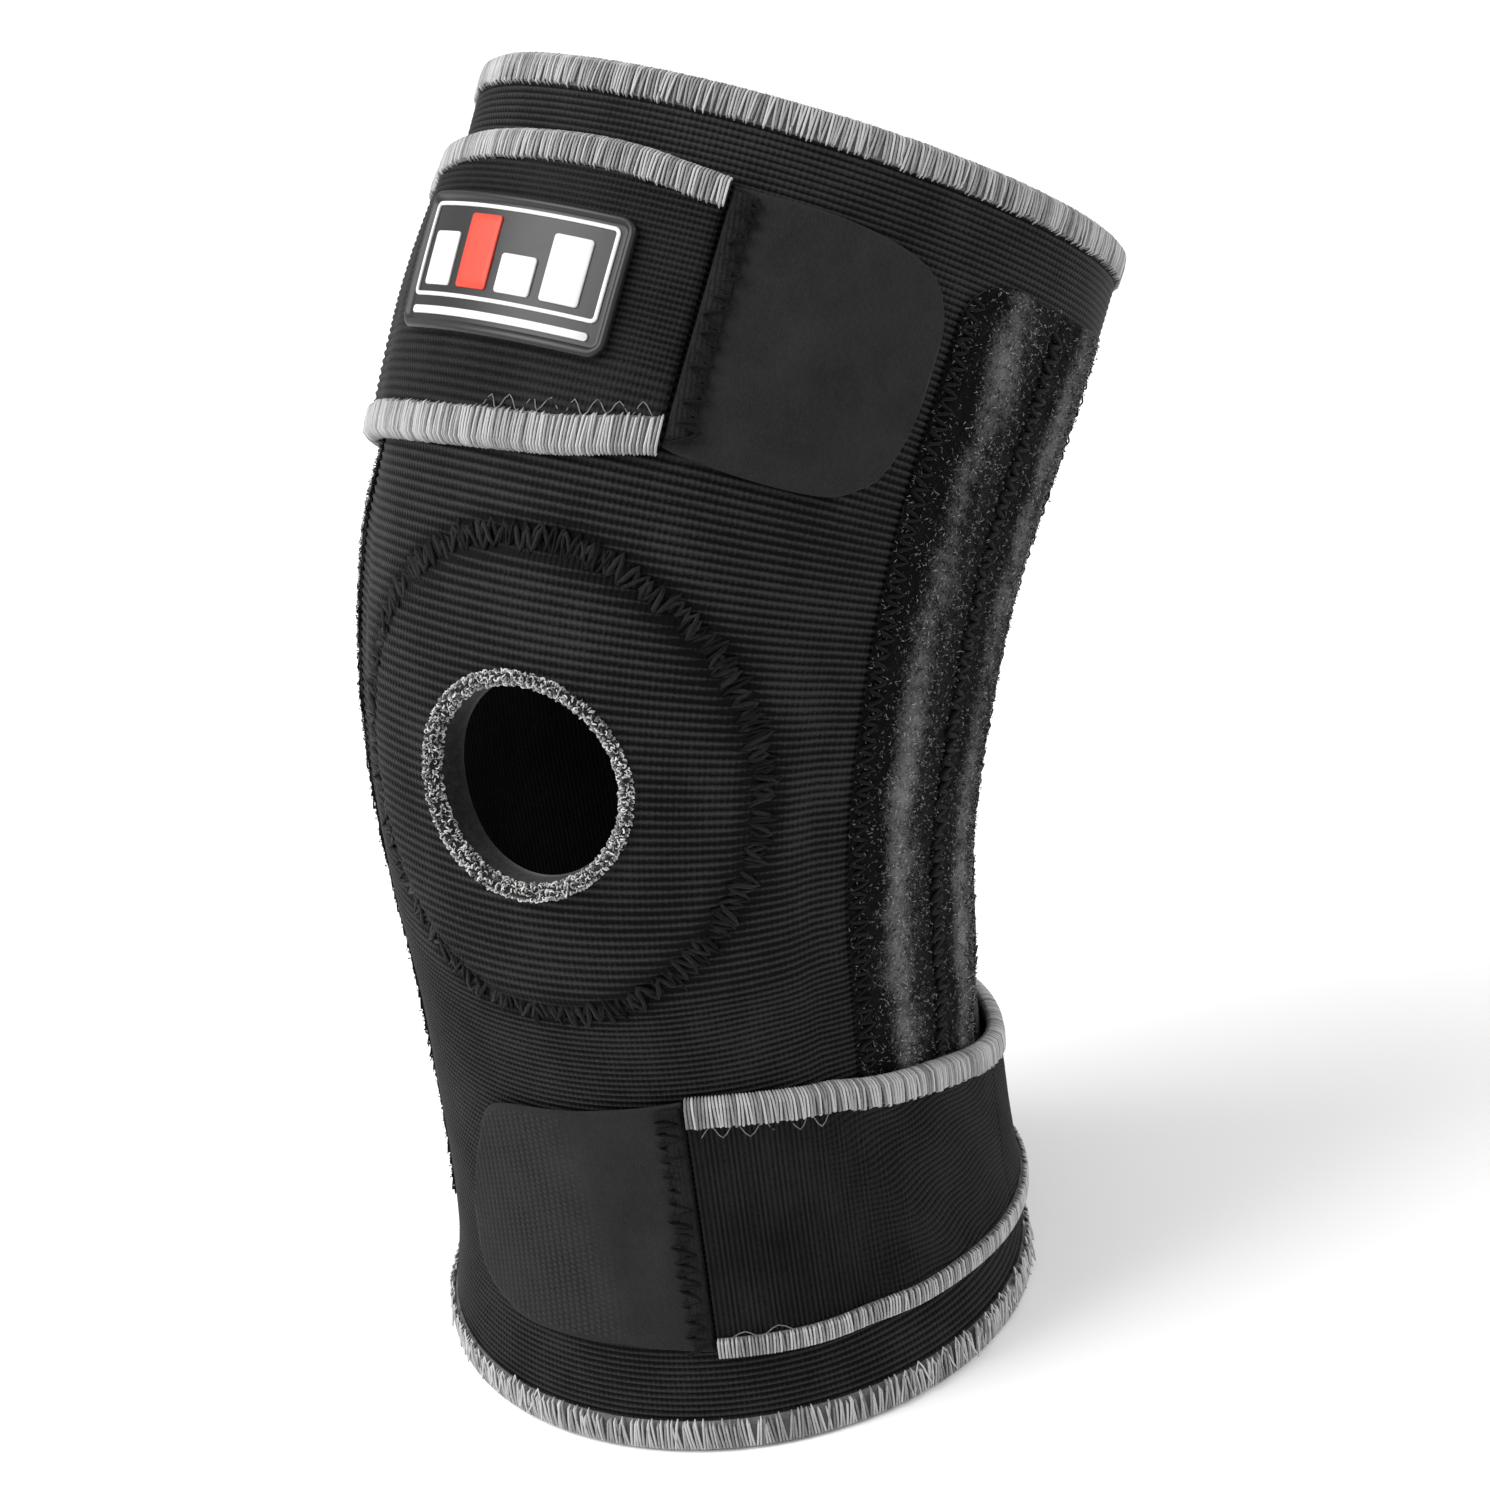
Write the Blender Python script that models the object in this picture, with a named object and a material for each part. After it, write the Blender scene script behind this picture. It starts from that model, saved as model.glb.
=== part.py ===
"""Knee brace: an open-back neoprene wrap with side stays and two hook-and-loop straps.

The brace stands on its lower hem, calf upright, thigh bent backwards (+Y). Every sheet part is
drawn as a flat pattern in (PHI, S): degrees round the leg from the shin (0) towards +X (90), and
metres up the middle of the leg. W is the height above the outside face of the wrap.
"""
import math

import bmesh
import bpy
from mathutils import Matrix, Vector
from mathutils.geometry import delaunay_2d_cdt

# The leg that the wrap is shaped to (metres, degrees).
HEIGHT = 0.253          # hem to top edge along the middle of the leg
BEND = 36.6             # how far the thigh leans back
HEADING = 12.0          # direction of the lean, from +Y towards +X
BEND_LOW = 0.1050       # the bend starts here ...
BEND_HIGH = 0.1970      # ... and ends here
HALF_WIDTHS = [0.0630, 0.0592, 0.0580, 0.0586, 0.0602, 0.0625, 0.0648, 0.0665, 0.0678, 0.0686, 0.0692]
FRONT_DEPTH = 1.02      # depth of the front half against the half width
BACK_DEPTH = 0.98
ORIGIN = Vector((0.00655, 0.02525, 0.0))  # under the middle of the brace

# Thicknesses.
GAP = 0.00035
PANEL = 0.0040
TAPE = 0.0005
STRAP = 0.0016
TAB = 0.0009
HOOKS = 0.0006
PAD = 0.0030
STRAP_ON_WRAP = 2 * GAP + TAPE
CASING_TOP = 0.0020
STRAP_ON_CASING = CASING_TOP + 2 * GAP + TAPE
STRAP_ON_EDGES = STRAP_ON_WRAP + GAP + TAPE

# Mesh lattice.
PHI_STEP = 7.5
S_STEP = 0.0085

# Wrap outline.
EDGE_ROOM = GAP + TAPE  # the binding's share of each edge
HEM_BAND = 0.0060
TOP_BAND = 0.0052
BACK_BAND = 0.0065
SPLIT_LOW = 0.0940      # calf panel ends, knee panel starts
SPLIT_HIGH = 0.1770     # knee panel ends, thigh panel starts
BACK_EDGE = 169.0       # back edges of the wrap at the hem and the top
RELIEF = 16.0           # how much the opening widens behind the knee
RELIEF_MIDDLE = 0.1360
RELIEF_HALF = 0.0420

# Kneecap opening and the ring pad behind it.
HOLE_MIDDLE = 0.1380
HOLE = (20.0, 0.0156)
HOLE_BAND = 0.0018
PAD_RIM = (40.0, 0.0320)

# Side casings and stays, given for the +X side.
CASING_LOW = 0.0300
CASING_HIGH = 0.2330
CASING_OUTSIDE = [(60.0, 0.35), (60.2, 0.8), (64.5, 0.9), (66.5, 1.1), (68.2, 1.8), (72.0, 2.0), (75.8, 1.8),
                  (77.5, 1.1), (83.0, 0.85), (88.5, 1.1), (90.2, 1.8), (94.0, 2.0), (97.8, 1.8), (99.5, 1.1),
                  (105.6, 0.85), (106.0, 0.35)]
CASING_INSIDE = [(98.0, 0.35), (98.0, 1.4), (90.0, 1.4), (90.0, 0.35), (83.0, 0.35), (76.0, 0.35), (76.0, 1.4),
                 (68.0, 1.4), (68.0, 0.35)]
STAY_PHIS = (72.0, 94.0)
STAY_HALF = 3.2
STAY_SPAN = (0.0380, 0.2240)

# Straps, as (phi, low s, high s) from the sewn end to the tab seam.
UPPER = [(-215, 0.172, 0.228), (-180, 0.172, 0.228), (-110, 0.1755, 0.2300), (-60, 0.1805, 0.2320),
         (-28, 0.1815, 0.2365), (-3, 0.1830, 0.2380), (8, 0.1840, 0.2370), (17.5, 0.1870, 0.2350)]
UPPER_PIVOT = -92.0
UPPER_TAB = [(18.3, 0.1872), (22, 0.1865), (34.5, 0.1855), (45, 0.1858), (50, 0.1878), (54, 0.1915),
             (56.5, 0.1995), (57.3, 0.2130), (56.0, 0.2240), (50.5, 0.2310), (37, 0.2342), (18.3, 0.2344)]
LOWER = [(215, 0.0140, 0.0600), (180, 0.0130, 0.0560), (140, 0.0145, 0.0555), (117, 0.0170, 0.0575),
         (98, 0.0185, 0.0640), (76, 0.0205, 0.0730), (58, 0.0210, 0.0780), (39, 0.0212, 0.0820),
         (25.0, 0.0220, 0.0830)]
LOWER_PIVOT = 100.0
LOWER_TAB = [(24.2, 0.0825), (-17.5, 0.0765), (-25, 0.0640), (-29.5, 0.0510), (-31.5, 0.0400),
             (-28.5, 0.0295), (-18.5, 0.0245), (-7.5, 0.0240), (8.5, 0.0242), (24.2, 0.0230)]
STRAP_BAND = 0.0050
PIVOT_GAP = 0.7         # degrees between the fixed and the lifting part of a strap

# Badge on the upper strap: (first phi, last phi, low s, high s).
BADGE = (-39.0, 6.0, 0.1960, 0.2232)
BADGE_PLATE = 0.0010
BADGE_FRAME = (-36.8, 3.8, 0.2020, 0.2210)
BADGE_RIM = 0.0007

BLACK = (0.020, 0.020, 0.021, 1.0)
GREY = (0.33, 0.33, 0.34, 1.0)
SLOTS = {
    "knit": (BLACK, 0.92, 0.0),
    "lining": ((0.028, 0.028, 0.030, 1.0), 0.90, 0.0),
    "plush": ((0.032, 0.032, 0.033, 1.0), 0.95, 0.0),
    "tape": (GREY, 0.85, 0.0),
    "boucle": ((0.27, 0.27, 0.27, 1.0), 0.90, 0.0),
    "hook_tape": ((0.035, 0.036, 0.037, 1.0), 0.75, 0.0),
    "strap_knit": (BLACK, 0.90, 0.0),
    "rubber": ((0.022, 0.022, 0.023, 1.0), 0.50, 0.0),
    "pale_rubber": ((0.62, 0.63, 0.64, 1.0), 0.50, 0.0),
    "red_rubber": ((0.62, 0.075, 0.030, 1.0), 0.50, 0.0),
    "spring_steel": ((0.55, 0.56, 0.57, 1.0), 0.30, 1.0),
}


def half_width(s):
    """Half width of the leg at height s, a smooth curve through HALF_WIDTHS."""
    last = len(HALF_WIDTHS) - 1
    at = min(max(s / HEIGHT, 0.0), 1.0) * last
    i = min(int(at), last - 1)
    f = at - i
    p = [HALF_WIDTHS[min(max(j, 0), last)] for j in (i - 1, i, i + 1, i + 2)]
    b = p[2] - p[0]
    c = 2 * p[0] - 5 * p[1] + 4 * p[2] - p[3]
    d = 3 * p[1] - p[0] - 3 * p[2] + p[3]
    return 0.5 * (2 * p[1] + b * f + c * f * f + d * f ** 3)


def leg_frame(s):
    """Middle of the leg at height s, with the directions to its side and its back."""
    head = math.radians(HEADING)
    lean = Vector((math.sin(head), math.cos(head), 0.0))
    up = Vector((0.0, 0.0, 1.0))
    bend = math.radians(BEND)
    rho = (BEND_HIGH - BEND_LOW) / bend
    angle = min(max((s - BEND_LOW) / rho, 0.0), bend)
    along = lean * math.sin(angle) + up * math.cos(angle)
    middle = up * min(s, BEND_LOW) + lean * rho * (1 - math.cos(angle)) + up * rho * math.sin(angle)
    middle += along * max(s - BEND_HIGH, 0.0)
    turn = Matrix.Rotation(angle, 3, up.cross(lean))
    return middle, turn @ Vector((1, 0, 0)), turn @ Vector((0, 1, 0))


def place(phi, s, w=0.0):
    """Point of the pattern (phi, s) at height w above the outside face of the wrap."""
    middle, side, back = leg_frame(s)
    a = math.radians(phi)
    depth = FRONT_DEPTH * (1 + math.cos(a)) / 2 + BACK_DEPTH * (1 - math.cos(a)) / 2
    ring = side * math.sin(a) - back * math.cos(a) * depth
    outward = (side * math.sin(a) * depth - back * math.cos(a)).normalized()
    return middle + ring * half_width(s) + outward * w - ORIGIN


def material(slot):
    """The material of a slot, made once."""
    found = bpy.data.materials.get(slot)
    if found:
        return found
    colour, roughness, metallic = SLOTS[slot]
    made = bpy.data.materials.new(slot)
    made.use_nodes = True
    shader = made.node_tree.nodes["Principled BSDF"]
    shader.inputs["Base Color"].default_value = colour
    shader.inputs["Roughness"].default_value = roughness
    shader.inputs["Metallic"].default_value = metallic
    made.diffuse_color = colour
    return made


def finish(name, bm, slot, pivot=None):
    """Turn a bmesh into a named object, faces outward, with its origin on the pivot."""
    bmesh.ops.remove_doubles(bm, verts=bm.verts, dist=0.00001)
    bmesh.ops.triangulate(bm, faces=bm.faces)
    bmesh.ops.recalc_face_normals(bm, faces=bm.faces)
    mesh = bpy.data.meshes.new(name)
    bm.to_mesh(mesh)
    bm.free()
    mesh.materials.append(material(slot))
    obj = bpy.data.objects.new(name, mesh)
    bpy.context.collection.objects.link(obj)
    if pivot is not None:
        mesh.transform(Matrix.Translation(-pivot))
        obj.location = pivot
    return obj


def loft(name, rows, slot, ring=False, pivot=None):
    """Skin rows of (phi, s, w) points; open ends are capped."""
    bm = bmesh.new()
    loops = [[bm.verts.new(place(*point)) for point in row] for row in rows]
    pairs = list(zip(loops, loops[1:]))
    if ring:
        pairs.append((loops[-1], loops[0]))
    for one, two in pairs:
        for i in range(len(one)):
            j = (i + 1) % len(one)
            bm.faces.new((one[i], one[j], two[j], two[i]))
    if not ring:
        bm.faces.new(loops[0])
        bm.faces.new(loops[-1][::-1])
    return finish(name, bm, slot, pivot)


def inside(point, loop):
    """Whether a flat point lies inside a loop."""
    x, y = point
    hit = False
    for (x0, y0), (x1, y1) in zip(loop, loop[1:] + loop[:1]):
        if (y0 > y) != (y1 > y) and x < (x1 - x0) * (y - y0) / (y1 - y0) + x0:
            hit = not hit
    return hit


def flat(phi, s):
    """Pattern point in about square units, for triangulation only."""
    return phi * 0.00108, s


def fill_in(loop, ring=True):
    """Add points to a loop so that no side is longer than a lattice step."""
    out = []
    ends = loop[1:] + loop[:1] if ring else loop[1:]
    for (p0, s0), (p1, s1) in zip(loop, ends):
        count = max(1, math.ceil(abs(p1 - p0) / PHI_STEP - 0.01), math.ceil(abs(s1 - s0) / S_STEP - 0.01))
        out += [(p0 + (p1 - p0) * k / count, s0 + (s1 - s0) * k / count) for k in range(count)]
    if not ring:
        out.append(loop[-1])
    return out


def sheet(name, outline, heights, slot, holes=(), pivot=None):
    """Flat pattern piece between two heights, wrapped on the leg."""
    loops = [fill_in(outline)] + [fill_in(hole) for hole in holes]
    points = []
    edges = []
    for loop in loops:
        first = len(points)
        points += loop
        edges += [(first + i, first + (i + 1) % len(loop)) for i in range(len(loop))]
    border = [flat(*p) for p in points]
    phis = [p for p, _ in loops[0]]
    heights_s = [s for _, s in loops[0]]
    flat_loops = [[flat(*p) for p in loop] for loop in loops]
    for i in range(math.ceil(min(phis) / PHI_STEP), math.floor(max(phis) / PHI_STEP) + 1):
        for j in range(math.ceil(min(heights_s) / S_STEP), math.floor(max(heights_s) / S_STEP) + 1):
            spot = (i * PHI_STEP, j * S_STEP)
            here = flat(*spot)
            if not inside(here, flat_loops[0]) or any(inside(here, loop) for loop in flat_loops[1:]):
                continue
            if min(math.dist(here, b) for b in border) > 0.0032:
                points.append(spot)
    spots = [Vector(flat(*p)) for p in points]
    found = delaunay_2d_cdt(spots, edges, [], 1, 1e-7)
    corners = [(v.x / 0.00108, v.y) for v in found[0]]
    bm = bmesh.new()
    under = [bm.verts.new(place(p, s, heights[0])) for p, s in corners]
    over = [bm.verts.new(place(p, s, heights[1])) for p, s in corners]
    used = {}
    for face in found[2]:
        middle = tuple(sum(found[0][k][axis] for k in face) / len(face) for axis in (0, 1))
        if any(inside(middle, loop) for loop in flat_loops[1:]):
            continue
        bm.faces.new([over[k] for k in face])
        bm.faces.new([under[k] for k in reversed(face)])
        for k, m in zip(face, list(face[1:]) + [face[0]]):
            used[(k, m)] = True
    for k, m in used:
        if (m, k) not in used:
            bm.faces.new((under[k], under[m], over[m], over[k]))
    bmesh.ops.delete(bm, geom=[v for v in bm.verts if not v.link_faces], context="VERTS")
    return finish(name, bm, slot, pivot)


def offset(loop, i, across):
    """Pattern point `across` metres to the left of a closed loop at its point i."""
    before = loop[i - 1]
    after = loop[(i + 1) % len(loop)]
    phi, s = loop[i]
    step_phi = place(phi + 0.5, s) - place(phi - 0.5, s)
    step_s = (place(phi, s + 0.001) - place(phi, s - 0.001)) / 0.002
    ahead = step_phi * (after[0] - before[0]) + step_s * (after[1] - before[1])
    side = step_phi.cross(step_s).cross(ahead).normalized() * across
    return phi + side.dot(step_phi) / step_phi.length_squared, s + side.dot(step_s) / step_s.length_squared


def folded(band, low, high):
    """Profile (across, height) of tape folded over the edge of cloth between two heights."""
    return [(band, high + GAP), (band, high + GAP + TAPE), (-EDGE_ROOM, high + GAP + TAPE),
            (-EDGE_ROOM, low - GAP - TAPE), (band, low - GAP - TAPE), (band, low - GAP), (-GAP, low - GAP),
            (-GAP, high + GAP)]


def eased(value, low, high):
    """0 below low, 1 above high, smooth between."""
    t = min(max((value - low) / (high - low), 0.0), 1.0)
    return t * t * (3 - 2 * t)


def back_edge(s):
    """Angle of the wrap's back edge at height s; the opening widens behind the knee."""
    return BACK_EDGE - RELIEF * (1 - eased(abs(s - RELIEF_MIDDLE), 0.0, RELIEF_HALF))


def heights_between(low, high, step=S_STEP):
    """Heights from low to high in even steps."""
    count = max(1, round((high - low) / step))
    return [low + (high - low) * k / count for k in range(count + 1)]


def oval(half_phi, half_s, count=28):
    """Closed loop round the kneecap."""
    return [(half_phi * math.cos(2 * math.pi * k / count), HOLE_MIDDLE + half_s * math.sin(2 * math.pi * k / count))
            for k in range(count)]


def wrap_panel(name, low, high, holes=()):
    """One zone of the neoprene wrap, from back edge to back edge."""
    levels = heights_between(low, high)
    outline = [(back_edge(s), s) for s in levels] + [(-back_edge(s), s) for s in reversed(levels)]
    return sheet(name, outline, (-PANEL, 0.0), "knit", holes)


def strap_limits(edges, phi):
    """Low and high edge of a strap at an angle."""
    run = sorted(edges)
    for (p0, a0, b0), (p1, a1, b1) in zip(run, run[1:]):
        if p0 <= phi <= p1:
            t = (phi - p0) / (p1 - p0)
            return a0 + (a1 - a0) * t, b0 + (b1 - b0) * t
    return run[0][1:] if phi < run[0][0] else run[-1][1:]


def strap_height(phi, side):
    """Height of a strap's inside face over the wrap, its own side's casing and the taped back edges."""
    turned = side * phi
    on_casing = eased(turned, 52.0, 67.0)
    past_casing = eased(turned, 108.0, 130.0)
    past_edges = eased(turned, 199.0, 208.0)
    height = STRAP_ON_WRAP + (STRAP_ON_CASING - STRAP_ON_WRAP) * on_casing
    height += (STRAP_ON_EDGES - STRAP_ON_CASING) * past_casing
    return height + (STRAP_ON_WRAP - STRAP_ON_EDGES) * past_edges


def columns(first, last):
    """Lattice angles from first to last, ends included."""
    low, high = min(first, last), max(first, last)
    inner = [k * PHI_STEP for k in range(math.ceil(low / PHI_STEP), math.floor(high / PHI_STEP) + 1)]
    out = [low] + [p for p in inner if low + 1.5 < p < high - 1.5] + [high]
    return out if first < last else out[::-1]


def strap(name, edges, first, last, side, pivot=None):
    """Length of strap between two angles, with the tape on its two edges."""
    rows = []
    paths = ([], [])
    for phi in columns(first, last):
        low, high = strap_limits(edges, phi)
        w = strap_height(phi, side)
        low += EDGE_ROOM
        high -= EDGE_ROOM
        across = [low + (high - low) * k / 5 for k in range(6)]
        rows.append([(phi, s, w) for s in across] + [(phi, s, w + STRAP) for s in reversed(across)])
        paths[0].append((phi, low, w))
        paths[1].append((phi, high, w))
    loft(name, rows, "strap_knit", pivot=pivot)
    for path, edge, turn in ((paths[0], "lower_tape", 1), (paths[1], "upper_tape", -1)):
        profile = folded(STRAP_BAND, 0.0, STRAP)
        tape_rows = [[(phi, s + turn * x, w + up) for x, up in profile] for phi, s, w in path]
        loft(f"{name}_{edge}", tape_rows, "tape", pivot=pivot)


def rounded(first, last, low, high, inset, corner=0.0030):
    """Rounded rectangle on the pattern, inset on every side (metres)."""
    per_degree = half_width((low + high) / 2) * math.pi / 180
    first, last = first + inset / per_degree, last - inset / per_degree
    low, high = low + inset, high - inset
    r = max(corner - inset, 0.0006)
    rp = r / per_degree
    out = []
    for cx, cy, start in ((last - rp, high - r, 0), (first + rp, high - r, 90), (first + rp, low + r, 180),
                          (last - rp, low + r, 270)):
        for k in range(3):
            a = math.radians(start + 45 * k)
            out.append((cx + rp * math.cos(a), cy + r * math.sin(a)))
    return out


for old in list(bpy.data.objects):
    bpy.data.objects.remove(old, do_unlink=True)

# The wrap: one neoprene sheet, in the three zones that the knee joint needs.
bottom, top = EDGE_ROOM, HEIGHT - EDGE_ROOM
wrap_panel("calf_panel", bottom, SPLIT_LOW)
wrap_panel("knee_panel", SPLIT_LOW + GAP, SPLIT_HIGH, [oval(*HOLE)])
wrap_panel("thigh_panel", SPLIT_HIGH + GAP, top)

# Tape round the hem, the top edge, and the two back edges.
for name, s, turn, band in (("hem_binding", bottom, 1, HEM_BAND), ("top_binding", top, -1, TOP_BAND)):
    profile = folded(band, -PANEL, 0.0)
    loft(name, [[(p, s + turn * x, w) for x, w in profile] for p in columns(-BACK_EDGE, BACK_EDGE)], "tape")
zones = (("calf", bottom + HEM_BAND + GAP, SPLIT_LOW), ("knee", SPLIT_LOW + GAP, SPLIT_HIGH),
         ("thigh", SPLIT_HIGH + GAP, top - TOP_BAND - GAP))
for zone, low, high in zones:
    for side, word in ((1, "right"), (-1, "left")):
        rows = []
        for s in heights_between(low, high):
            turn = math.degrees(1 / half_width(s))
            rows.append([(side * (back_edge(s) - x * turn), s, w) for x, w in folded(BACK_BAND, -PANEL, 0.0)])
        loft(f"{zone}_back_binding_{word}", rows, "tape")

# Ring pad on the inside, round the kneecap, and the overlocked edge of the opening.
pad_out = -PANEL - GAP
sheet("kneecap_pad", oval(*PAD_RIM), (pad_out - PAD, pad_out), "lining", [oval(*HOLE)])
edge = oval(*HOLE)[::-1]
profile = folded(HOLE_BAND, pad_out - PAD, 0.0)
rows = [[(*offset(edge, i, x), w) for x, w in profile] for i in range(len(edge))]
loft("kneecap_binding", rows, "boucle", ring=True)

# Side casings, each with two spring steel stays in its channels.
for side, word in ((1, "right"), (-1, "left")):
    profile = [(side * p, w / 1000) for p, w in CASING_OUTSIDE + CASING_INSIDE]
    levels = heights_between(CASING_LOW, CASING_HIGH)
    loft(f"side_casing_{word}", [[(p, s, w) for p, w in profile] for s in levels], "plush")
    for phi, spot in zip(STAY_PHIS, ("front", "rear")):
        box = [(-STAY_HALF, 0.0005), (STAY_HALF, 0.0005), (STAY_HALF, 0.0012), (-STAY_HALF, 0.0012)]
        rows = [[(side * phi + p, s, w) for p, w in box] for s in heights_between(*STAY_SPAN)]
        loft(f"stay_{word}_{spot}", rows, "spring_steel")

# Upper strap: sewn on behind the +X side, round the back and the -X side to the front.
top_of_strap = STRAP + 2 * GAP + TAPE
middle = sum(strap_limits(UPPER, UPPER_PIVOT)) / 2
upper_hinge = place(UPPER_PIVOT, middle, STRAP_ON_CASING + top_of_strap)
strap("upper_strap_back", UPPER, -215.0, UPPER_PIVOT - PIVOT_GAP, -1)
strap("upper_strap", UPPER, UPPER_PIVOT, 17.5, -1, upper_hinge)
upper_seam = place(17.9, 0.2108, STRAP_ON_WRAP + top_of_strap)
hooks = GAP + HOOKS
sheet("upper_tab", UPPER_TAB, (hooks + GAP, hooks + GAP + TAB), "hook_tape", pivot=upper_seam)
sheet("upper_tab_hooks", rounded(21.0, 55.0, 0.1890, 0.2310, 0.0, 0.008), (GAP, hooks), "hook_tape", pivot=upper_seam)

# Lower strap: sewn on behind the -X side, round the back and the +X side to the front.
middle = sum(strap_limits(LOWER, LOWER_PIVOT)) / 2
lower_hinge = place(LOWER_PIVOT, middle, STRAP_ON_CASING + top_of_strap)
strap("lower_strap_back", LOWER, 215.0, LOWER_PIVOT + PIVOT_GAP, 1)
strap("lower_strap", LOWER, LOWER_PIVOT, 25.0, 1, lower_hinge)
lower_seam = place(24.6, 0.0530, STRAP_ON_WRAP + top_of_strap)
sheet("lower_tab", LOWER_TAB, (hooks + GAP, hooks + GAP + TAB), "hook_tape", pivot=lower_seam)
sheet("lower_tab_hooks", rounded(-24.0, 21.5, 0.0275, 0.0740, 0.0, 0.010), (GAP, hooks), "hook_tape", pivot=lower_seam)

# Moulded badge: plate, raised rim, pale frame, and a pattern of plain bars.
plate = STRAP_ON_WRAP + STRAP + GAP
face = plate + BADGE_PLATE + 0.0003
sheet("badge_plate", rounded(*BADGE, 0.0), (plate, plate + BADGE_PLATE), "rubber", pivot=upper_hinge)
sheet("badge_rim", rounded(*BADGE, 0.0002), (face, face + BADGE_RIM), "rubber", [rounded(*BADGE, 0.0016)],
      upper_hinge)
sheet("badge_frame", rounded(*BADGE_FRAME, 0.0, 0.0012), (face, face + 0.0004), "pale_rubber",
      [rounded(*BADGE_FRAME, 0.0008, 0.0014)], upper_hinge)
bars = ((-34.0, -27.0, 0.2042, 0.2150, "pale_rubber"), (-25.0, -18.0, 0.2042, 0.2190, "red_rubber"),
        (-16.0, -9.0, 0.2042, 0.2120, "pale_rubber"), (-7.0, 0.0, 0.2042, 0.2175, "pale_rubber"),
        (-36.0, 3.0, 0.1984, 0.2000, "pale_rubber"))
for number, (first, last, low, high, slot) in enumerate(bars, 1):
    sheet(f"badge_bar_{number}", rounded(first, last, low, high, 0.0, 0.0007), (face, face + 0.0004), slot,
          pivot=upper_hinge)
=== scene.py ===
"""Knee brace: an open-back neoprene wrap with side stays, a kneecap opening and two hook-and-loop straps."""
import math

import bmesh
import bpy
import numpy as np
from mathutils import Matrix, Vector


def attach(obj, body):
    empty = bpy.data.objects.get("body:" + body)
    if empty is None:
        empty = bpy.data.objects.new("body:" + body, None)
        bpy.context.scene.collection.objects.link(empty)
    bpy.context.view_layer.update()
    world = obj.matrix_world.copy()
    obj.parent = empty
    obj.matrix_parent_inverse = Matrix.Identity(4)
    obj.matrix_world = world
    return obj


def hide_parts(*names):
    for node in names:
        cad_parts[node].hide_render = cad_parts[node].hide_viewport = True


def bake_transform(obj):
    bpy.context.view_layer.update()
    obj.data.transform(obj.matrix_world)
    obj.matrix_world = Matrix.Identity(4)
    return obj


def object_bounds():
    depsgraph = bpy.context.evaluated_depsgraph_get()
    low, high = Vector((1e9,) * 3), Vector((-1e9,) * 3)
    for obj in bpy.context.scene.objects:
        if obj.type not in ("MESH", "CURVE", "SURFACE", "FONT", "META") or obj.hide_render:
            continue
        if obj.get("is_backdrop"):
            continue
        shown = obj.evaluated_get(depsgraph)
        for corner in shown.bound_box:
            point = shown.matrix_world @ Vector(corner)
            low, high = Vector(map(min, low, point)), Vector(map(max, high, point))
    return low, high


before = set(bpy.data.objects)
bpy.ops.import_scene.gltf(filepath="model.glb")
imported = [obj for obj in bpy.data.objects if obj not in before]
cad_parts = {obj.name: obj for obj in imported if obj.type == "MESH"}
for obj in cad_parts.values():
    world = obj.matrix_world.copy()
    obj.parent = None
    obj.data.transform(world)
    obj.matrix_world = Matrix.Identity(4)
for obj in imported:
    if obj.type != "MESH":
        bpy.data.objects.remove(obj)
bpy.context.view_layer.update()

# ---------------------------------------------------------------------------------------------
# Neoprene wrap. One sheet of 4 mm foam with a black ribbed jersey on the outside and a smooth
# lining on the inside, cut flat, wrapped round the leg from the shin and left open at the back.
# Its pattern is drawn in PHI (degrees round the leg from the shin) and S (metres up the leg).
# ---------------------------------------------------------------------------------------------
HEIGHT = 0.253
BEND = math.radians(36.6)
HEADING = math.radians(12.0)
BEND_LOW, BEND_HIGH = 0.1050, 0.1970
HALF_WIDTHS = np.array([0.0630, 0.0592, 0.0580, 0.0586, 0.0602, 0.0625, 0.0648, 0.0665, 0.0678, 0.0686,
                        0.0692])
FRONT_DEPTH, BACK_DEPTH = 1.02, 0.98
ORIGIN = np.array([0.00655, 0.02525, 0.0])
RADIUS = 0.0625
FOAM = 0.0040
EDGE_ROOM = 0.00085
BACK_EDGE, RELIEF = 169.0, 16.0
RELIEF_MIDDLE, RELIEF_HALF = 0.1360, 0.0420
HOLE_MIDDLE, HOLE_PHI, HOLE_HALF = 0.1380, 19.5, 0.0151
CIRCLE_MIDDLE, CIRCLE_PHI, CIRCLE_HALF = 0.1375, 43.0, 0.0345
RIB_PITCH, RIB_HEIGHT, RIB_ROWS = 0.00135, 0.00042, 3
LINING_SKIP = 3
FRONT_SHARE, FRONT_COLUMNS, SIDE_COLUMNS = 0.155, 32, 49


def eased(value, low, high):
    """0 below low, 1 above high, smooth between."""
    t = np.clip((np.asarray(value, float) - low) / (high - low), 0, 1)
    return t * t * (3 - 2 * t)


def peak(value, centre, width):
    """1 at the centre, falling off smoothly on both sides."""
    return np.exp(-((value - centre) / width) ** 2)


def between(value, low, inner_low, inner_high, high):
    """1 between the inner limits, 0 outside the outer ones."""
    return eased(value, low, inner_low) * (1 - eased(value, inner_high, high))


def curve_through(p0, p1, p2, p3, t):
    """Smooth way from p1 to p2, led by the points before and after them."""
    return 0.5 * (2 * p1 + (p2 - p0) * t + (2 * p0 - 5 * p1 + 4 * p2 - p3) * t ** 2
                  + (3 * p1 - p0 - 3 * p2 + p3) * t ** 3)


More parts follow.
